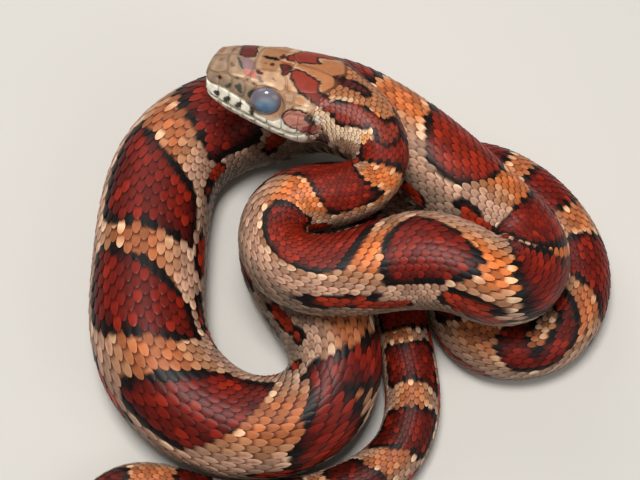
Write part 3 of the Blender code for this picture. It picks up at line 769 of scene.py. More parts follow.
def unwrapped(place, angle):
    """Place on the skin laid out flat in strips, for the maps."""
    strips = 3
    span = (LINE.length + 1.0) / strips
    strip = np.clip(np.floor(place / span), 0, strips - 1)
    across = np.degrees(angle) / 360.0
    return 0.01 + 0.98 * (place - strip * span) / span, (strip + 0.5 + 0.94 * across) / strips


def make_mesh(name, points, faces, colours, corner_maps, look, flat_limit=40.0):
    """A named object from points in millimetres. faces is a list of arrays of equal faces."""
    mesh = bpy.data.meshes.new(name)
    corners = np.concatenate([part.ravel() for part in faces])
    totals = np.concatenate([np.full(len(part), part.shape[1]) for part in faces])
    starts = np.concatenate([[0], np.cumsum(totals)[:-1]])
    mesh.vertices.add(len(points))
    mesh.vertices.foreach_set("co", (points * MM).astype(np.float32).ravel())
    mesh.loops.add(len(corners))
    mesh.loops.foreach_set("vertex_index", corners.astype(np.int32))
    mesh.polygons.add(len(totals))
    mesh.polygons.foreach_set("loop_start", starts.astype(np.int32))
    mesh.update(calc_edges=True)
    layer = mesh.attributes.new("Markings", "FLOAT_COLOR", "POINT")
    rgba = np.concatenate([linear(colours), np.ones((len(points), 1))], axis=1)
    layer.data.foreach_set("color", rgba.astype(np.float32).ravel())
    if corner_maps is not None:
        flat = mesh.uv_layers.new(name="OFBake")
        flat.uv.foreach_set("vector", corner_maps.astype(np.float32).ravel())
    mesh.materials.append(look)
    mesh.shade_smooth()
    if flat_limit:
        mesh.set_sharp_from_angle(angle=math.radians(flat_limit))
    mesh.validate()
    made = bpy.data.objects.new(name, mesh)
    bpy.context.scene.collection.objects.link(made)
    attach(made, "root")
    return made


def scale_shape():
    """One back scale: places along, across and in height, with its faces.

    The top is a grid of stations from the root to the tip, and a skirt and an underside sink
    into the skin.
    """
    stations = ((-0.58, 0.34), (-0.40, 0.47), (-0.16, 0.54), (0.08, 0.54), (0.28, 0.47),
                (0.42, 0.35), (0.53, 0.20), (0.58, 0.06))
    lanes = np.array((-1.0, -0.52, 0.0, 0.52, 1.0))
    top = []
    for along, half in stations:
        for lane in lanes:
            keel = 0.05 * math.exp(-(lane / 0.22) ** 2) * float(smooth(along, -0.5, -0.2))
            crown = 0.18 * (1.0 - lane * lane)
            tip_fall = 0.08 * float(smooth(along, 0.40, 0.60))
            top.append((along, lane * half, 0.72 * along + crown + keel - tip_fall))
    top = np.array(top)
    count, wide = len(stations), len(lanes)
    index = np.arange(count * wide).reshape(count, wide)
    quads = [(index[i, k], index[i, k + 1], index[i + 1, k + 1], index[i + 1, k])
             for i in range(count - 1) for k in range(wide - 1)]
    rim = [*index[0, :], *index[1:, -1], *index[-1, -2::-1], *index[-2:0:-1, 0]]
    skirt = top[rim].copy()
    skirt[:, 2] = -1.15
    skirt[:, :2] *= 0.90
    base = len(top) + np.arange(len(rim))
    for i in range(len(rim)):
        after = (i + 1) % len(rim)
        quads.append((rim[after], rim[i], base[i], base[after]))
    under = []
    first, last = wide - 1, len(rim) - 1
    for i in range(1, len(rim) - 1):
        under.append((base[0], base[i + 1], base[i]))
    return np.concatenate([top, skirt]), np.array(quads), np.array(under), len(top)


def rows_at(place):
    count = ROW_COUNTS[0][1]
    for start, number in ROW_COUNTS:
        if place >= start:
            count = number
    return count


def scale_rings():
    """Distances from the snout at which a new ring of scales starts, with the pitch there."""
    place = 20.9
    rings = []
    while place < LINE.length - 1.2:
        width = float(LINE.at(np.array(place))[1])
        share = 0.62 + 0.22 * float(smooth(place, 36.0, 56.0)) + 0.16 * float(smooth(place, 140.0, 200.0))
        pitch = (PITCH_BASE + PITCH_GAIN * width) * share
        rings.append((place, pitch, width))
        place += pitch
    return rings


def back_scales(look):
    """All scales of the back and flanks, in joined pieces."""
    shape, quads, under, top_count = scale_shape()
    entries = []
    for place, pitch, width in scale_rings():
        rows = rows_at(place)
        step = 2.0 * BACK_SHARE * HALF_ROUND * (1.0 - 0.18 * float(smooth(place, 560, 600))) / rows
        for row in range(rows):
            start = place + (0.5 * pitch if row % 2 else 0.0)
            offset = (row - 0.5 * (rows - 1)) * step
            if on_head_plates(start, offset):
                continue
            entries.append((start, offset, pitch, step))
    entries = np.array(entries)
    place, offset, pitch, step = entries.T
    count = len(entries)
    fleck = rng.random(count)
    along = place[:, None] + shape[None, :, 0] * pitch[:, None]
    along = np.clip(along, 0.0, LINE.length - 0.05)
    middle = arc_of(back_middle(place))
    arc = (middle + offset)[:, None] + shape[None, :, 1] * step[:, None]
    angle = angle_of(arc)
    relief = np.clip(pitch / 2.0, 0.35, 1.05)
    lift = -0.16 + 0.235 * relief[:, None] * shape[None, :, 2]
    lift = np.maximum(lift, -0.45 * np.clip(LINE.at(along)[1], 0.3, 1.0))
    lift += 0.018 * (rng.random(count)[:, None] - 0.5)
    points, _ = surface(along, angle, lift)
    degrees_mid = np.degrees(angle_of(middle + offset))
    spread_place = place[:, None] + 0.35 * shape[None, :, 0] * pitch[:, None]
    spread_turn = np.degrees(angle)
    spread_turn = degrees_mid[:, None] + 0.35 * offset_from(spread_turn, degrees_mid[:, None])
    flecks = np.broadcast_to(fleck[:, None], spread_place.shape)
    colours = markings(spread_place, spread_turn, flecks)
    # Partly the scales' own paler rims and tips, partly painted glints along their side edges; less on dark scales.
    edge = np.abs(shape[:, 1]) / 0.50
    pale_rim_and_glint = 0.22 * smooth(edge, 0.72, 1.0) * smooth(shape[:, 0], -0.25, 0.0)
    pale_rim_and_glint += 0.14 * smooth(shape[:, 0], 0.38, 0.56)
    pale_rim_and_glint = pale_rim_and_glint[None, :] * (0.35 + 0.65 * smooth(colours.mean(axis=(1, 2)), 0.22, 0.45))[:, None]
    turned_from_back = np.abs(offset_from(degrees_mid, np.degrees(back_middle(place))))
    speckled = smooth(turned_from_back, 26.0, 50.0) * smooth(colours.mean(axis=(1, 2)), 0.38, 0.52)
    heart = np.exp(-((shape[:, 0] - 0.02) / 0.30) ** 2 - (shape[:, 1] / 0.24) ** 2)
    speck = heart[None, :] * (speckled * (0.25 + 0.60 * rng.random(count) ** 2))[:, None]
    colours = mix(colours, np.array(FLANK_DARK), speck)
    colours = mix(colours, colours * 0.6 + np.array((0.38, 0.29, 0.26)), pale_rim_and_glint)
    root_tint = np.array(ROOT_TINT) * np.ones((len(shape), 1))
    tint = mix(root_tint, (1.0, 1.0, 1.0), smooth(shape[:, 0], -0.48, -0.12))
    colours = colours * tint[None]
    # Painted shade: the skirts, where each scale sinks into the skin, are darkened.
    colours[:, top_count:] *= 0.55
    u, v = unwrapped(place, angle_of(middle + offset))
    spot = 0.0015 / 0.66
    map_u = u[:, None] + spot * shape[None, :, 0]
    map_v = v[:, None] + spot * 0.9 * shape[None, :, 1]
    per_piece = 1600
    made = []
    for number, start in enumerate(range(0, count, per_piece)):
        stop = min(start + per_piece, count)
        size = len(shape)
        shift = (np.arange(stop - start) * size)[:, None, None]
        all_quads = (quads[None] + shift).reshape(-1, 4)
        all_under = (under[None] + shift).reshape(-1, 3)
        flat_points = points[start:stop].reshape(-1, 3)
        flat_colours = colours[start:stop].reshape(-1, 3)
        maps = np.stack([map_u[start:stop].ravel(), map_v[start:stop].ravel()], axis=-1)
        corner_maps = maps[np.concatenate([all_quads.ravel(), all_under.ravel()])]
        made.append(make_mesh("back_scales_%02d" % (number + 1), flat_points, [all_quads, all_under],
                              flat_colours, corner_maps, look))
    return made


def on_head_plates(place, offset):
    """Whether a scale's place is taken by the plates of the head."""
    around = abs(float(np.degrees(angle_of(np.array(offset)))))
    edge = 24.3 - 1.6 * float(smooth(around, 12.0, 40.0))
    edge += 1.2 * float(smooth(around, 68.0, 78.0)) - 3.0 * float(smooth(around, 112.0, 150.0))
    return place < edge


def plate_grid(wide, long):
    """Grid over a plate from -1 to 1 each way, with rim, skirt and underside faces."""
    across = np.linspace(-1.0, 1.0, wide)
    along = np.linspace(-1.0, 1.0, long)
    grid = np.array([(a, c) for a in along for c in across])
    index = np.arange(wide * long).reshape(long, wide)
    quads = [(index[i, k], index[i, k + 1], index[i + 1, k + 1], index[i + 1, k])
             for i in range(long - 1) for k in range(wide - 1)]
    rim = [*index[0, :], *index[1:, -1], *index[-1, -2::-1], *index[-2:0:-1, 0]]
    base = wide * long + np.arange(len(rim))
    for i in range(len(rim)):
        after = (i + 1) % len(rim)
        quads.append((rim[after], rim[i], base[i], base[after]))
    under = [(base[0], base[i + 1], base[i]) for i in range(1, len(rim) - 1)]
    return grid, rim, np.array(quads), np.array(under)


def belly_scutes(look):
    """The wide scutes under the body and the paired ones under the tail."""
    wide, long = 17, 5
    grid, rim, quads, under = plate_grid(wide, long)
    points, colours, maps = [], [], []
    half_cover = (1.0 - BACK_SHARE) * HALF_ROUND + 0.10
    jobs = []
    for place, pitch, width in scale_rings():
        if place < 28.0:
            continue
        if place < VENT:
            jobs.append((place, pitch, width, -half_cover, half_cover))
        else:
            jobs.append((place, pitch, width, -half_cover, 0.03))
            jobs.append((place + 0.5 * pitch, pitch, width, -0.03, half_cover))
    for place, pitch, width, low, high in jobs:
        fleck = rng.random()
        along = place + grid[:, 0] * 0.66 * pitch
        bow = 0.30 * pitch * (np.abs(grid[:, 1]) ** 2.5)
        along = np.clip(along - bow, 0.0, LINE.length - 0.05)
        middle = arc_of(back_middle(np.array(place))) + HALF_ROUND
        arc = middle + 0.5 * (low + high) + 0.5 * (high - low) * grid[:, 1]
        relief = min(1.0, pitch / 2.0)
        lift = -0.12 + 0.085 * relief * grid[:, 0] + 0.03 * (1.0 - np.abs(grid[:, 1]) ** 6)
        top, _ = surface(along, angle_of(arc), lift)
        foot, _ = surface(along[rim], angle_of(arc[rim]), np.full(len(rim), -0.34 * relief))
        side = np.clip((arc - middle) / half_cover, -1.0, 1.0)
        colour = belly_markings(along, side, np.full(along.shape, fleck))
        body = markings(along, np.degrees(angle_of(arc)), np.full(along.shape, fleck))
        colour = mix(colour, body, 0.9 * smooth(np.abs(side), 0.82, 1.0))
        points += [top, foot]
        # Painted shade: the rim of each scute, where it sinks into the skin, is darkened.
        colours += [colour, colour[rim] * 0.6]
        u, v = unwrapped(np.array(place), angle_of(middle + 0.5 * (low + high)))
        flat = np.stack([u + 0.0012 * grid[:, 0], v + 0.0015 * grid[:, 1]], axis=-1)
        maps += [flat, flat[rim]]
    size = len(grid) + len(rim)
    shift = (np.arange(len(jobs)) * size)[:, None, None]
    all_quads = (quads[None] + shift).reshape(-1, 4)
    all_under = (under[None] + shift).reshape(-1, 3)
    maps = np.concatenate(maps)
    corner_maps = maps[np.concatenate([all_quads.ravel(), all_under.ravel()])]
    return make_mesh("belly_scutes", np.concatenate(points), [all_quads, all_under],
                     np.concatenate(colours), corner_maps, look)


def outline_depth(x, y, corners):
    """Distance inside a closed outline, less than zero outside."""
    corners = np.asarray(corners, float)
    nearest = np.full(x.shape, 1e9)
    crossings = np.zeros(x.shape, bool)
    for (ax, ay), (bx, by) in zip(corners, np.roll(corners, -1, axis=0)):
        span = (bx - ax) ** 2 + (by - ay) ** 2
        share = np.clip(((x - ax) * (bx - ax) + (y - ay) * (by - ay)) / span, 0.0, 1.0)
        away = np.hypot(x - ax - share * (bx - ax), y - ay - share * (by - ay))
        nearest = np.minimum(nearest, away)
        if ay != by:
            crossings ^= ((ay > y) != (by > y)) & (x < (bx - ax) * (y - ay) / (by - ay) + ax)
    return np.where(crossings, nearest, -nearest)


def head_ground(place, degrees, fleck):
    """Plain ground of the head, with a painted highlight along the snout's ridge."""
    around = np.abs(degrees)
    colour = mix(SNOUT_TAN, HEAD_TAN, smooth(place, 7.0, 14.0))
    colour = mix(colour, GREY, 0.45 * smooth(around, 42.0, 58.0) * (1.0 - smooth(place, 11, 15)))
    lip = smooth(around - np.interp(place, LIP_TOP[:, 0], LIP_TOP[:, 1]), -3.0, 2.0)
    colour = mix(colour, WHITE, lip * (1.0 - smooth(place, 24.0, 26.5)))
    # Painted highlight: a cream line along the ridge from the snout to the brow, at 39 degrees to either side.
    colour = mix(colour, CREAM, 0.7 * bell(around, 39.0, 2.4) * smooth(place, 7.0, 8.0)
                 * (1.0 - smooth(place, 14.5, 15.5)))
    wave = np.sin(2.3 * place + 0.11 * degrees) * np.sin(1.1 * place - 0.17 * degrees + 1.0)
    return colour * (1.0 + 0.07 * wave + 0.06 * (fleck - 0.5))[..., None]


def markings(place, degrees, fleck):
    """Colour of the skin at places and angles, with a random number for each scale."""
    colour = body_markings(place, degrees, fleck)
    near = place < 38.0
    if not near.any():
        return colour
    x, angle, chance = place[near], degrees[near], fleck[near]
    painted = mix(head_ground(x, angle, chance), colour[near], smooth(x, 25.0, 28.0))
    y = head_arc(angle)
    across, along = y, x
    x_wave = 0.07 * np.sin(4.1 * across + 1.7 * along) + 0.05 * np.sin(9.3 * across - 5.0 * along)
    y_wave = 0.07 * np.sin(3.7 * along - 2.1 * across) + 0.05 * np.sin(8.1 * along + 4.3 * across)
    x, y = x + x_wave, y + y_wave
    for shade, border, repeated, corners in HEAD_MARKS:
        for other in ((False, True) if repeated else (False,)):
            placed = np.array(corners, float)
            if other:
                placed[:, 1] = 2.0 * np.degrees(back_middle(placed[:, 0])) - placed[:, 1]
            placed[:, 1] = head_arc(placed[:, 1])
            placed = eased_outline(placed, 2, 0.25)
            low, high = placed[:, 0].min() - 0.5, placed[:, 0].max() + 0.5
            close = (x > low) & (x < high)
            if not close.any():
                continue
            depth = outline_depth(x[close], y[close], placed)
            depth = depth + 0.12 * (chance[close] - 0.5) * smooth(x[close], 22.0, 26.0)
            fill = np.asarray(shade, float) * (0.93 + 0.14 * chance[close])[..., None]
            if border:
                fill = mix(BLACK, fill, smooth(depth, 0.55 * border, 1.5 * border))
            painted[close] = mix(painted[close], fill, smooth(depth, -0.12, 0.14))
    for stop in LIP_SUTURES[2:7:2]:
        away = np.hypot((x - stop) / 0.4, (np.abs(angle) - 98.0) / 4.0)
        painted = mix(painted, SLATE, 0.6 * (1.0 - smooth(away, 0.7, 1.3)))
    # Painted shade: the nostril's opening is painted near black.
    painted = mix(painted, BLACK, 0.9 * (1.0 - smooth(from_nostril(x, angle), 0.22, 0.50)))
    colour[near] = painted
    return colour


def from_nostril(place, degrees):
    """Millimetres from the nearer nostril."""
    return np.hypot(place - NOSTRIL[0], head_arc(np.abs(degrees)) - head_arc(NOSTRIL[1]))


def nostril_dip(place, degrees):
    """How far the surface sinks at the nostrils."""
    return 0.45 * np.exp(-(from_nostril(place, degrees) / 0.38) ** 2)


def eased_outline(corners, rounds, cut):
    """Rounds the corners of an outline by cutting off a share of each side again and again."""
    points = np.asarray(corners, float)
    for _ in range(rounds):
        after = np.roll(points, -1, axis=0)
        points = np.stack([(1.0 - cut) * points + cut * after, cut * points + (1.0 - cut) * after], axis=1)
        points = points.reshape(-1, 2)
    return points


def socket_dip(place, degrees):
    """How far the surface sinks under the eyes, to leave them free."""
    along = (place - EYE_SOCKET[0]) / EYE_SOCKET[2]
    around = (head_arc(np.abs(degrees)) - head_arc(EYE_SOCKET[1])) / EYE_SOCKET[3]
    return 0.85 * (1.0 - smooth(np.hypot(along, around), 0.80, 1.06))


def along_outline(points, step):
    """Points spaced evenly along a closed outline."""
    closed = np.concatenate([points, points[:1]])
    run = np.concatenate([[0.0], np.cumsum(np.linalg.norm(np.diff(closed, axis=0), axis=1))])
    count = max(12, int(run[-1] / step))
    stops = np.linspace(0.0, run[-1], count, endpoint=False)
    return np.stack([np.interp(stops, run, closed[:, k]) for k in range(2)], axis=-1)


def nose_chart(points):
    """From millimetres over the nose's front to distance and degrees."""
    reach = np.hypot(points[:, 0], points[:, 1])
    place = TIP_PLACE + (reach / NOSE_SPREAD) ** 2
    return np.maximum(place, TIP_PLACE + 0.02), np.degrees(np.arctan2(points[:, 1], points[:, 0]))


def side_chart(points):
    """From millimetres over the head to distance and degrees."""
    return points[:, 0], head_turn(points[:, 1])


def plate_points(outline_mm, chart, top):
    """Places, angles, heights and faces of one plate, a pillow over the head's surface."""
    edge = along_outline(eased_outline(outline_mm, 2, 0.10), 0.22)
    centre = edge.mean(axis=0)
    rays = edge - centre
    reach = np.linalg.norm(rays, axis=1)
    suture, roll, step = -0.02, 0.12, 0.26
    inner = [1.0 - suture / reach]
    for sink in (0.10, 0.30):
        inner.append(1.0 - (suture + sink) / reach)
    turns = max(2, int(np.median(reach) / step))
    last = inner[-1]
    for k in range(1, turns):
        inner.append(last * (1.0 - k / turns))
    shares = [inner[0], *inner]
    rings, lifts = [], []
    for k, share in enumerate(shares):
        rings.append(centre + rays * share[:, None])
        depth = (1.0 - share) * reach - suture
        lift = top - 0.13 * np.exp(-depth / roll)
        lifts.append(np.full(len(edge), -0.42) if k == 0 else lift)
    flat = np.concatenate([*rings, centre[None]])
    lift = np.concatenate([*lifts, [top]])
    place, degrees = chart(flat)
    count = len(edge)
    index = np.arange(len(shares) * count).reshape(len(shares), count)
    after = np.roll(index, -1, axis=1)
    quads = np.stack([index[:-1], after[:-1], after[1:], index[1:]], axis=-1).reshape(-1, 4)
    middle = np.full(count, len(flat) - 1)
    fan = np.stack([index[-1], after[-1], middle], axis=-1)
    base = np.stack([np.full(count - 2, 0), np.arange(2, count), np.arange(1, count - 1)], axis=-1)
    return place, degrees, lift, quads, np.concatenate([fan, base])


def lip_plates():
    """Outlines of the plates along both lips of one side."""
    made = []
    for first, last in zip(LIP_SUTURES, LIP_SUTURES[1:]):
        lead, trail = first + 0.07, last - 0.07
        stops = np.linspace(lead, trail, 4)
        tops = np.interp(stops, LIP_TOP[:, 0], LIP_TOP[:, 1]) + 1.0
        made.append((*zip(stops, tops), (trail, 89.8), (lead, 89.8)))
        shift = 0.5 if first > 3.0 else 0.0
        made.append(((lead + shift, 92.2), (trail + shift, 92.2), (trail + shift - 0.2, 112.0),
                     (lead + shift + 0.1, 112.0)))
    return made


def head_plates(look):
    """Large plates of the head, both sides, joined in one piece."""
    jobs = [(FRONTAL_PLATE, side_chart, -0.005)]
    for _, corners in HEAD_PLATES:
        for side in (1.0, -1.0):
            jobs.append(([(x, side * turn) for x, turn in corners], side_chart, -0.005))
    for corners in lip_plates():
        for side in (1.0, -1.0):
            jobs.append(([(x, side * turn) for x, turn in corners], side_chart, 0.04))
    points, colours, maps, quads, fans = [], [], [], [], []
    total = 0
    for corners, chart, top in jobs:
        flat = np.array(corners, float)
        flat[:, 1] = head_arc(flat[:, 1])
        made = plate_points(flat, chart, top)
        total = add_plate(made, points, colours, maps, quads, fans, total)
    for turn_low, turn_high, reach in ((-64, 64, 3.4), (112, 248, 3.3)):
        turns = np.radians(np.linspace(turn_low, turn_high, 9))
        rim = [(reach * math.cos(t), reach * math.sin(t)) for t in turns]
        side = 0.5 * (turn_low + turn_high)
        back = 0.35 if turn_low < 0 else -0.2
        rim.append((-back * math.cos(math.radians(side)), 0.9))
        rim.insert(0, (-back * math.cos(math.radians(side)), -0.9))
        if turn_low > 0:
            rim = rim[::-1]
        made = plate_points(np.array(rim), nose_chart, 0.02)
        total = add_plate(made, points, colours, maps, quads, fans, total)
    all_quads, all_fans = np.concatenate(quads), np.concatenate(fans)
    maps = np.concatenate(maps)
    corner_maps = maps[np.concatenate([all_quads.ravel(), all_fans.ravel()])]
    return make_mesh("head_plates", np.concatenate(points), [all_quads, all_fans],
                     np.concatenate(colours), corner_maps, look)


def add_plate(made, points, colours, maps, quads, fans, total):
    """Adds one plate's points, colours, maps and faces to the lists."""
    place, degrees, lift, plate_quads, plate_fans = made
    angle = np.radians(degrees)
    placed, _ = surface(place, angle, lift - nostril_dip(place, degrees) - socket_dip(place, degrees))
    fleck = np.full(len(place), rng.random())
    colour = markings(place, degrees, fleck)
    # Painted shade: the rolled edge of each plate, where it dips into the suture, is darkened.
    colour = colour * (1.0 - 0.40 * smooth(-lift, 0.03, 0.12))[..., None]
    points.append(placed)
    colours.append(colour)
    maps.append(np.stack(unwrapped(place, angle), axis=-1))
    quads.append(plate_quads + total)
    fans.append(plate_fans + total)
    return total + len(place)


def eye(name, node, side, look, rim_look):
    """One eye, clouded before the shed."""
    rings, sides = 28, 56
    forward, left, up = head_axes()
    out_by = EYE_SEEN[1] - (FAR_EYE_SUNK if side > 0 else 0.0)
    spot = np.array(LINE_START) - forward * EYE_SEEN[0] + up * EYE_SEEN[2] - left * side * out_by
    out = turned(-left * side, up, -side * EYE_TURN)
    fore = np.cross(up, out)
    turns = np.linspace(0.0, 2.0 * math.pi, sides, endpoint=False)
    tilts = np.linspace(0.0, math.pi, rings + 1)[1:-1]
    tilt, turn = np.meshgrid(tilts, turns, indexing="ij")
    across = np.sin(tilt) * np.cos(turn)
    rise = np.sin(tilt) * np.sin(turn)
    proud = np.cos(tilt)
    points = [spot + out * EYE_SEEN_SIZE[1]]
    grid = spot + (fore * across[..., None] * EYE_SEEN_SIZE[0] + up * rise[..., None] * EYE_SEEN_SIZE[2]
                   + out * proud[..., None] * EYE_SEEN_SIZE[1])
    points = np.concatenate([grid.reshape(-1, 3), [spot + out * EYE_SEEN_SIZE[1],
                                                   spot - out * EYE_SEEN_SIZE[1]]])
    points[:, 0] -= COIL_MIDDLE[0]
    points[:, 1] -= COIL_MIDDLE[1]
    count = len(tilts)
    index = np.arange(count * sides).reshape(count, sides)
    after = np.roll(index, -1, axis=1)
    quads = np.stack([index[:-1], index[1:], after[1:], after[:-1]], axis=-1).reshape(-1, 4)
    top, bottom = np.full(sides, count * sides), np.full(sides, count * sides + 1)
    caps = np.concatenate([np.stack([top, index[0], after[0]], axis=-1),
                           np.stack([bottom, after[-1], index[-1]], axis=-1)])
    if side > 0:
        quads, caps = quads[:, ::-1], caps[:, ::-1]
    radius = np.concatenate([np.hypot(across, rise).ravel(), [0.0, 0.0]])
    height = np.concatenate([rise.ravel(), [0.0, 0.0]])
    colour = mix(EYE_BLUE, EYE_MAUVE, smooth(height, -0.2, 0.65))
    colour = mix(colour, EYE_RIM, smooth(radius, 0.45, 0.82))
    colour = mix(colour, EYE_DEEP, 0.45 * (1.0 - smooth(np.hypot(radius, 0.0), 0.10, 0.34)))
    ball = make_mesh(name, points, [quads, caps], colour, None, look, flat_limit=0.0)
    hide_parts(node)
    return ball


def skin(look):
    """One skin from the snout to the tip of the tail."""
    sides = 96
    stops = np.concatenate([
        TIP_PLACE + np.array((0.02, 0.12, 0.3, 0.55, 0.85)), np.arange(3.1, 28.0, 0.25),
        np.arange(28.0, 50.0, 0.6), np.arange(50.0, LINE.length - 0.3, 1.1), [LINE.length - 0.25]])
    angles = np.linspace(-math.pi, math.pi, sides, endpoint=False)
    place, angle = np.meshgrid(stops, angles, indexing="ij")
    width = LINE.at(place)[1]
    coat = mix((0.12, 0.12, 0.12), (COAT, COAT, COAT), smooth(place, 22.5, 26.5))[..., 0]
    lift = -np.minimum(coat, 0.45 * width)
    degrees = np.abs(np.degrees(angle))
    mouth = smooth(place - TIP_PLACE, 0.3, 1.5)
    mouth = mouth * (1.0 - smooth(place, MOUTH_CORNER - 1.5, MOUTH_CORNER))
    lift = lift - 0.30 * mouth * bell(degrees, 91.0, 2.4)
    lift = lift - nostril_dip(place, degrees) - socket_dip(place, degrees)
    points, _ = surface(place, angle, lift)
    fleck = np.full(place.shape, 0.45)
    bare = mix((0.92, 0.88, 0.86), BETWEEN, smooth(place, 21.5, 25.5))
    colours = markings(place, np.degrees(angle), fleck) * bare
    belly = smooth(np.abs((np.degrees(angle - back_middle(place)) + 180) % 360 - 180), 128, 134)
    colours = mix(colours, BELLY_PALE, belly)
    rings, count = place.shape
    index = np.arange(rings * count).reshape(rings, count)
    after = np.roll(index, -1, axis=1)
    quads = np.stack([index[:-1], after[:-1], after[1:], index[1:]], axis=-1).reshape(-1, 4)
    caps = np.stack([index[0], index[-1][::-1]])
    strip_of = stops[:-1]
    span = (LINE.length + 1.0) / 3.0
    strip = np.clip(np.floor(strip_of / span), 0, 2)
    turn_low = angles / (2.0 * math.pi)
    turn_high = turn_low + 1.0 / count
    maps = np.zeros((rings - 1, count, 4, 2))
    for corner, (row, turn) in enumerate(((0, turn_low), (0, turn_high), (1, turn_high), (1, turn_low))):
        edge = stops[row:rings - 1 + row]
        maps[:, :, corner, 0] = (0.01 + 0.98 * np.clip((edge - strip * span) / span, 0, 1))[:, None]
        maps[:, :, corner, 1] = ((strip + 0.5)[:, None] + 0.94 * turn[None, :]) / 3.0
    cap_maps = np.full((2 * count, 2), 0.004)
    corner_maps = np.concatenate([maps.reshape(-1, 2), cap_maps])
    made = make_mesh("skin", points.reshape(-1, 3), [quads, caps], colours.reshape(-1, 3),
                     corner_maps, look, flat_limit=0.0)
    flesh = [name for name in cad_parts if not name.startswith("eye")]
    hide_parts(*flesh)
    return made


def scale_material(name, roughness, grain):
    """Glossy keratin: markings from the mesh, mottled, with fine grain."""
    made = bpy.data.materials.new(name)
    made.use_nodes = True
    tree = made.node_tree
    shader = tree.nodes["Principled BSDF"]
    marks = tree.nodes.new("ShaderNodeAttribute")
    marks.attribute_name = "Markings"
    place = tree.nodes.new("ShaderNodeTexCoord")
    mottle = tree.nodes.new("ShaderNodeTexNoise")
    mottle.inputs["Scale"].default_value = 900.0
    mottle.inputs["Detail"].default_value = 3.0
    spread = tree.nodes.new("ShaderNodeMapRange")
    spread.inputs["To Min"].default_value = 0.72
    spread.inputs["To Max"].default_value = 1.26
    tint = tree.nodes.new("ShaderNodeMix")
    tint.data_type = "RGBA"
    tint.blend_type = "MULTIPLY"
    tint.inputs["Factor"].default_value = 1.0
    tree.links.new(place.outputs["Object"], mottle.inputs["Vector"])
    tree.links.new(mottle.outputs["Fac"], spread.inputs["Value"])
    tree.links.new(marks.outputs["Color"], tint.inputs["A"])
    tree.links.new(spread.outputs["Result"], tint.inputs["B"])
    tree.links.new(tint.outputs["Result"], shader.inputs["Base Color"])
    fine = tree.nodes.new("ShaderNodeTexNoise")
    fine.inputs["Scale"].default_value = grain
    fine.inputs["Detail"].default_value = 2.0
    tree.links.new(place.outputs["Object"], fine.inputs["Vector"])
    gloss = tree.nodes.new("ShaderNodeMapRange")
    gloss.inputs["To Min"].default_value = roughness - 0.10
    gloss.inputs["To Max"].default_value = roughness + 0.12
    tree.links.new(fine.outputs["Fac"], gloss.inputs["Value"])
    tree.links.new(gloss.outputs["Result"], shader.inputs["Roughness"])
    bump = tree.nodes.new("ShaderNodeBump")
    bump.inputs["Strength"].default_value = 0.18
    bump.inputs["Distance"].default_value = 0.00008
    tree.links.new(fine.outputs["Fac"], bump.inputs["Height"])
    tree.links.new(bump.outputs["Normal"], shader.inputs["Normal"])
    shader.inputs["Specular IOR Level"].default_value = 0.22
    shader.inputs["IOR"].default_value = 1.45
    return made


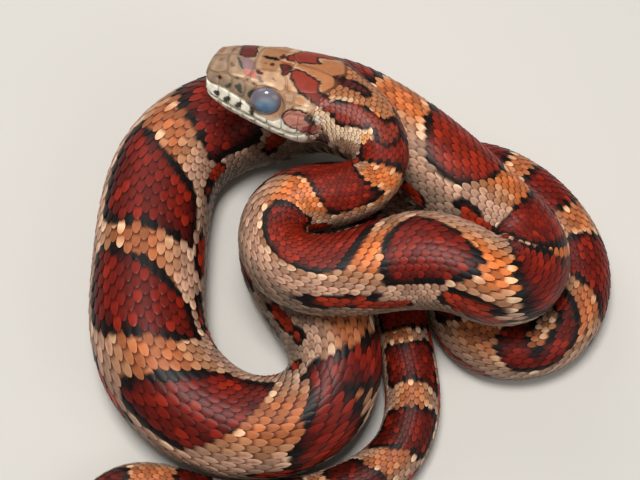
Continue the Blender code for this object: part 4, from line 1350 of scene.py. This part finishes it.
def stage():
    """Plain pale floor, soft studio light and the photograph's viewpoint."""
    bpy.ops.mesh.primitive_plane_add(size=3.0, location=(0.0, 0.0, 0.0))
    floor = bpy.context.object
    floor.name = "floor"
    paint = bpy.data.materials.new("floor_paint")
    paint.use_nodes = True
    shader = paint.node_tree.nodes["Principled BSDF"]
    shader.inputs["Base Color"].default_value = (0.58, 0.565, 0.54, 1.0)
    shader.inputs["Roughness"].default_value = 0.8
    floor.data.materials.append(paint)
    world = bpy.context.scene.world or bpy.data.worlds.new("studio")
    bpy.context.scene.world = world
    world.use_nodes = True
    world.node_tree.nodes["Background"].inputs["Color"].default_value = (1.0, 0.98, 0.95, 1.0)
    world.node_tree.nodes["Background"].inputs["Strength"].default_value = 0.20
    lamps = (
        ("key", (-0.03, 0.02, 0.42), 0.12, 1.65),
        ("fill", (0.34, -0.20, 0.30), 0.30, 0.55),
        ("back", (-0.20, 0.36, 0.30), 0.30, 0.65),
    )
    for name, place, size, power in lamps:
        lamp = bpy.data.lights.new(name, "AREA")
        lamp.size = size
        lamp.energy = power
        lamp.color = (1.0, 0.97, 0.93)
        made = bpy.data.objects.new(name, lamp)
        made.location = place
        toward = -made.location
        made.rotation_mode = "QUATERNION"
        made.rotation_quaternion = toward.to_track_quat("-Z", "Y")
        bpy.context.scene.collection.objects.link(made)
    lens = bpy.data.cameras.new("camera")
    lens.lens = 75.6
    lens.sensor_width = 36.0
    lens.clip_start = 0.01
    camera = bpy.data.objects.new("camera", lens)
    camera.location = (-0.005, -0.06993, 0.2375)
    camera.rotation_euler = (math.radians(20.0), 0.0, 0.0)
    bpy.context.scene.collection.objects.link(camera)
    bpy.context.scene.camera = camera
    bpy.context.scene.view_settings.view_transform = "Standard"


def eye_material():
    """Clouded blue eye of a snake about to shed."""
    made = bpy.data.materials.new("clouded_eye")
    made.use_nodes = True
    tree = made.node_tree
    shader = tree.nodes["Principled BSDF"]
    marks = tree.nodes.new("ShaderNodeAttribute")
    marks.attribute_name = "Markings"
    place = tree.nodes.new("ShaderNodeTexCoord")
    cloud = tree.nodes.new("ShaderNodeTexNoise")
    cloud.inputs["Scale"].default_value = 700.0
    spread = tree.nodes.new("ShaderNodeMapRange")
    spread.inputs["To Min"].default_value = 0.85
    spread.inputs["To Max"].default_value = 1.15
    tint = tree.nodes.new("ShaderNodeMix")
    tint.data_type = "RGBA"
    tint.blend_type = "MULTIPLY"
    tint.inputs["Factor"].default_value = 1.0
    tree.links.new(place.outputs["Object"], cloud.inputs["Vector"])
    tree.links.new(cloud.outputs["Fac"], spread.inputs["Value"])
    tree.links.new(marks.outputs["Color"], tint.inputs["A"])
    tree.links.new(spread.outputs["Result"], tint.inputs["B"])
    tree.links.new(tint.outputs["Result"], shader.inputs["Base Color"])
    shader.inputs["Roughness"].default_value = 0.16
    shader.inputs["Coat Weight"].default_value = 0.3
    shader.inputs["Coat Roughness"].default_value = 0.05
    return made


def main():
    scales = scale_material("scales_glossy", 0.40, 5200.0)
    bare = scale_material("skin_between", 0.55, 4200.0)
    skin(bare)
    back_scales(scales)
    belly_scutes(scales)
    head_plates(scales)
    eyes = eye_material()
    eye("eye_ball_left", "eye_left", -1.0, eyes, bare)
    eye("eye_ball_right", "eye_right", 1.0, eyes, bare)
    stage()


main()
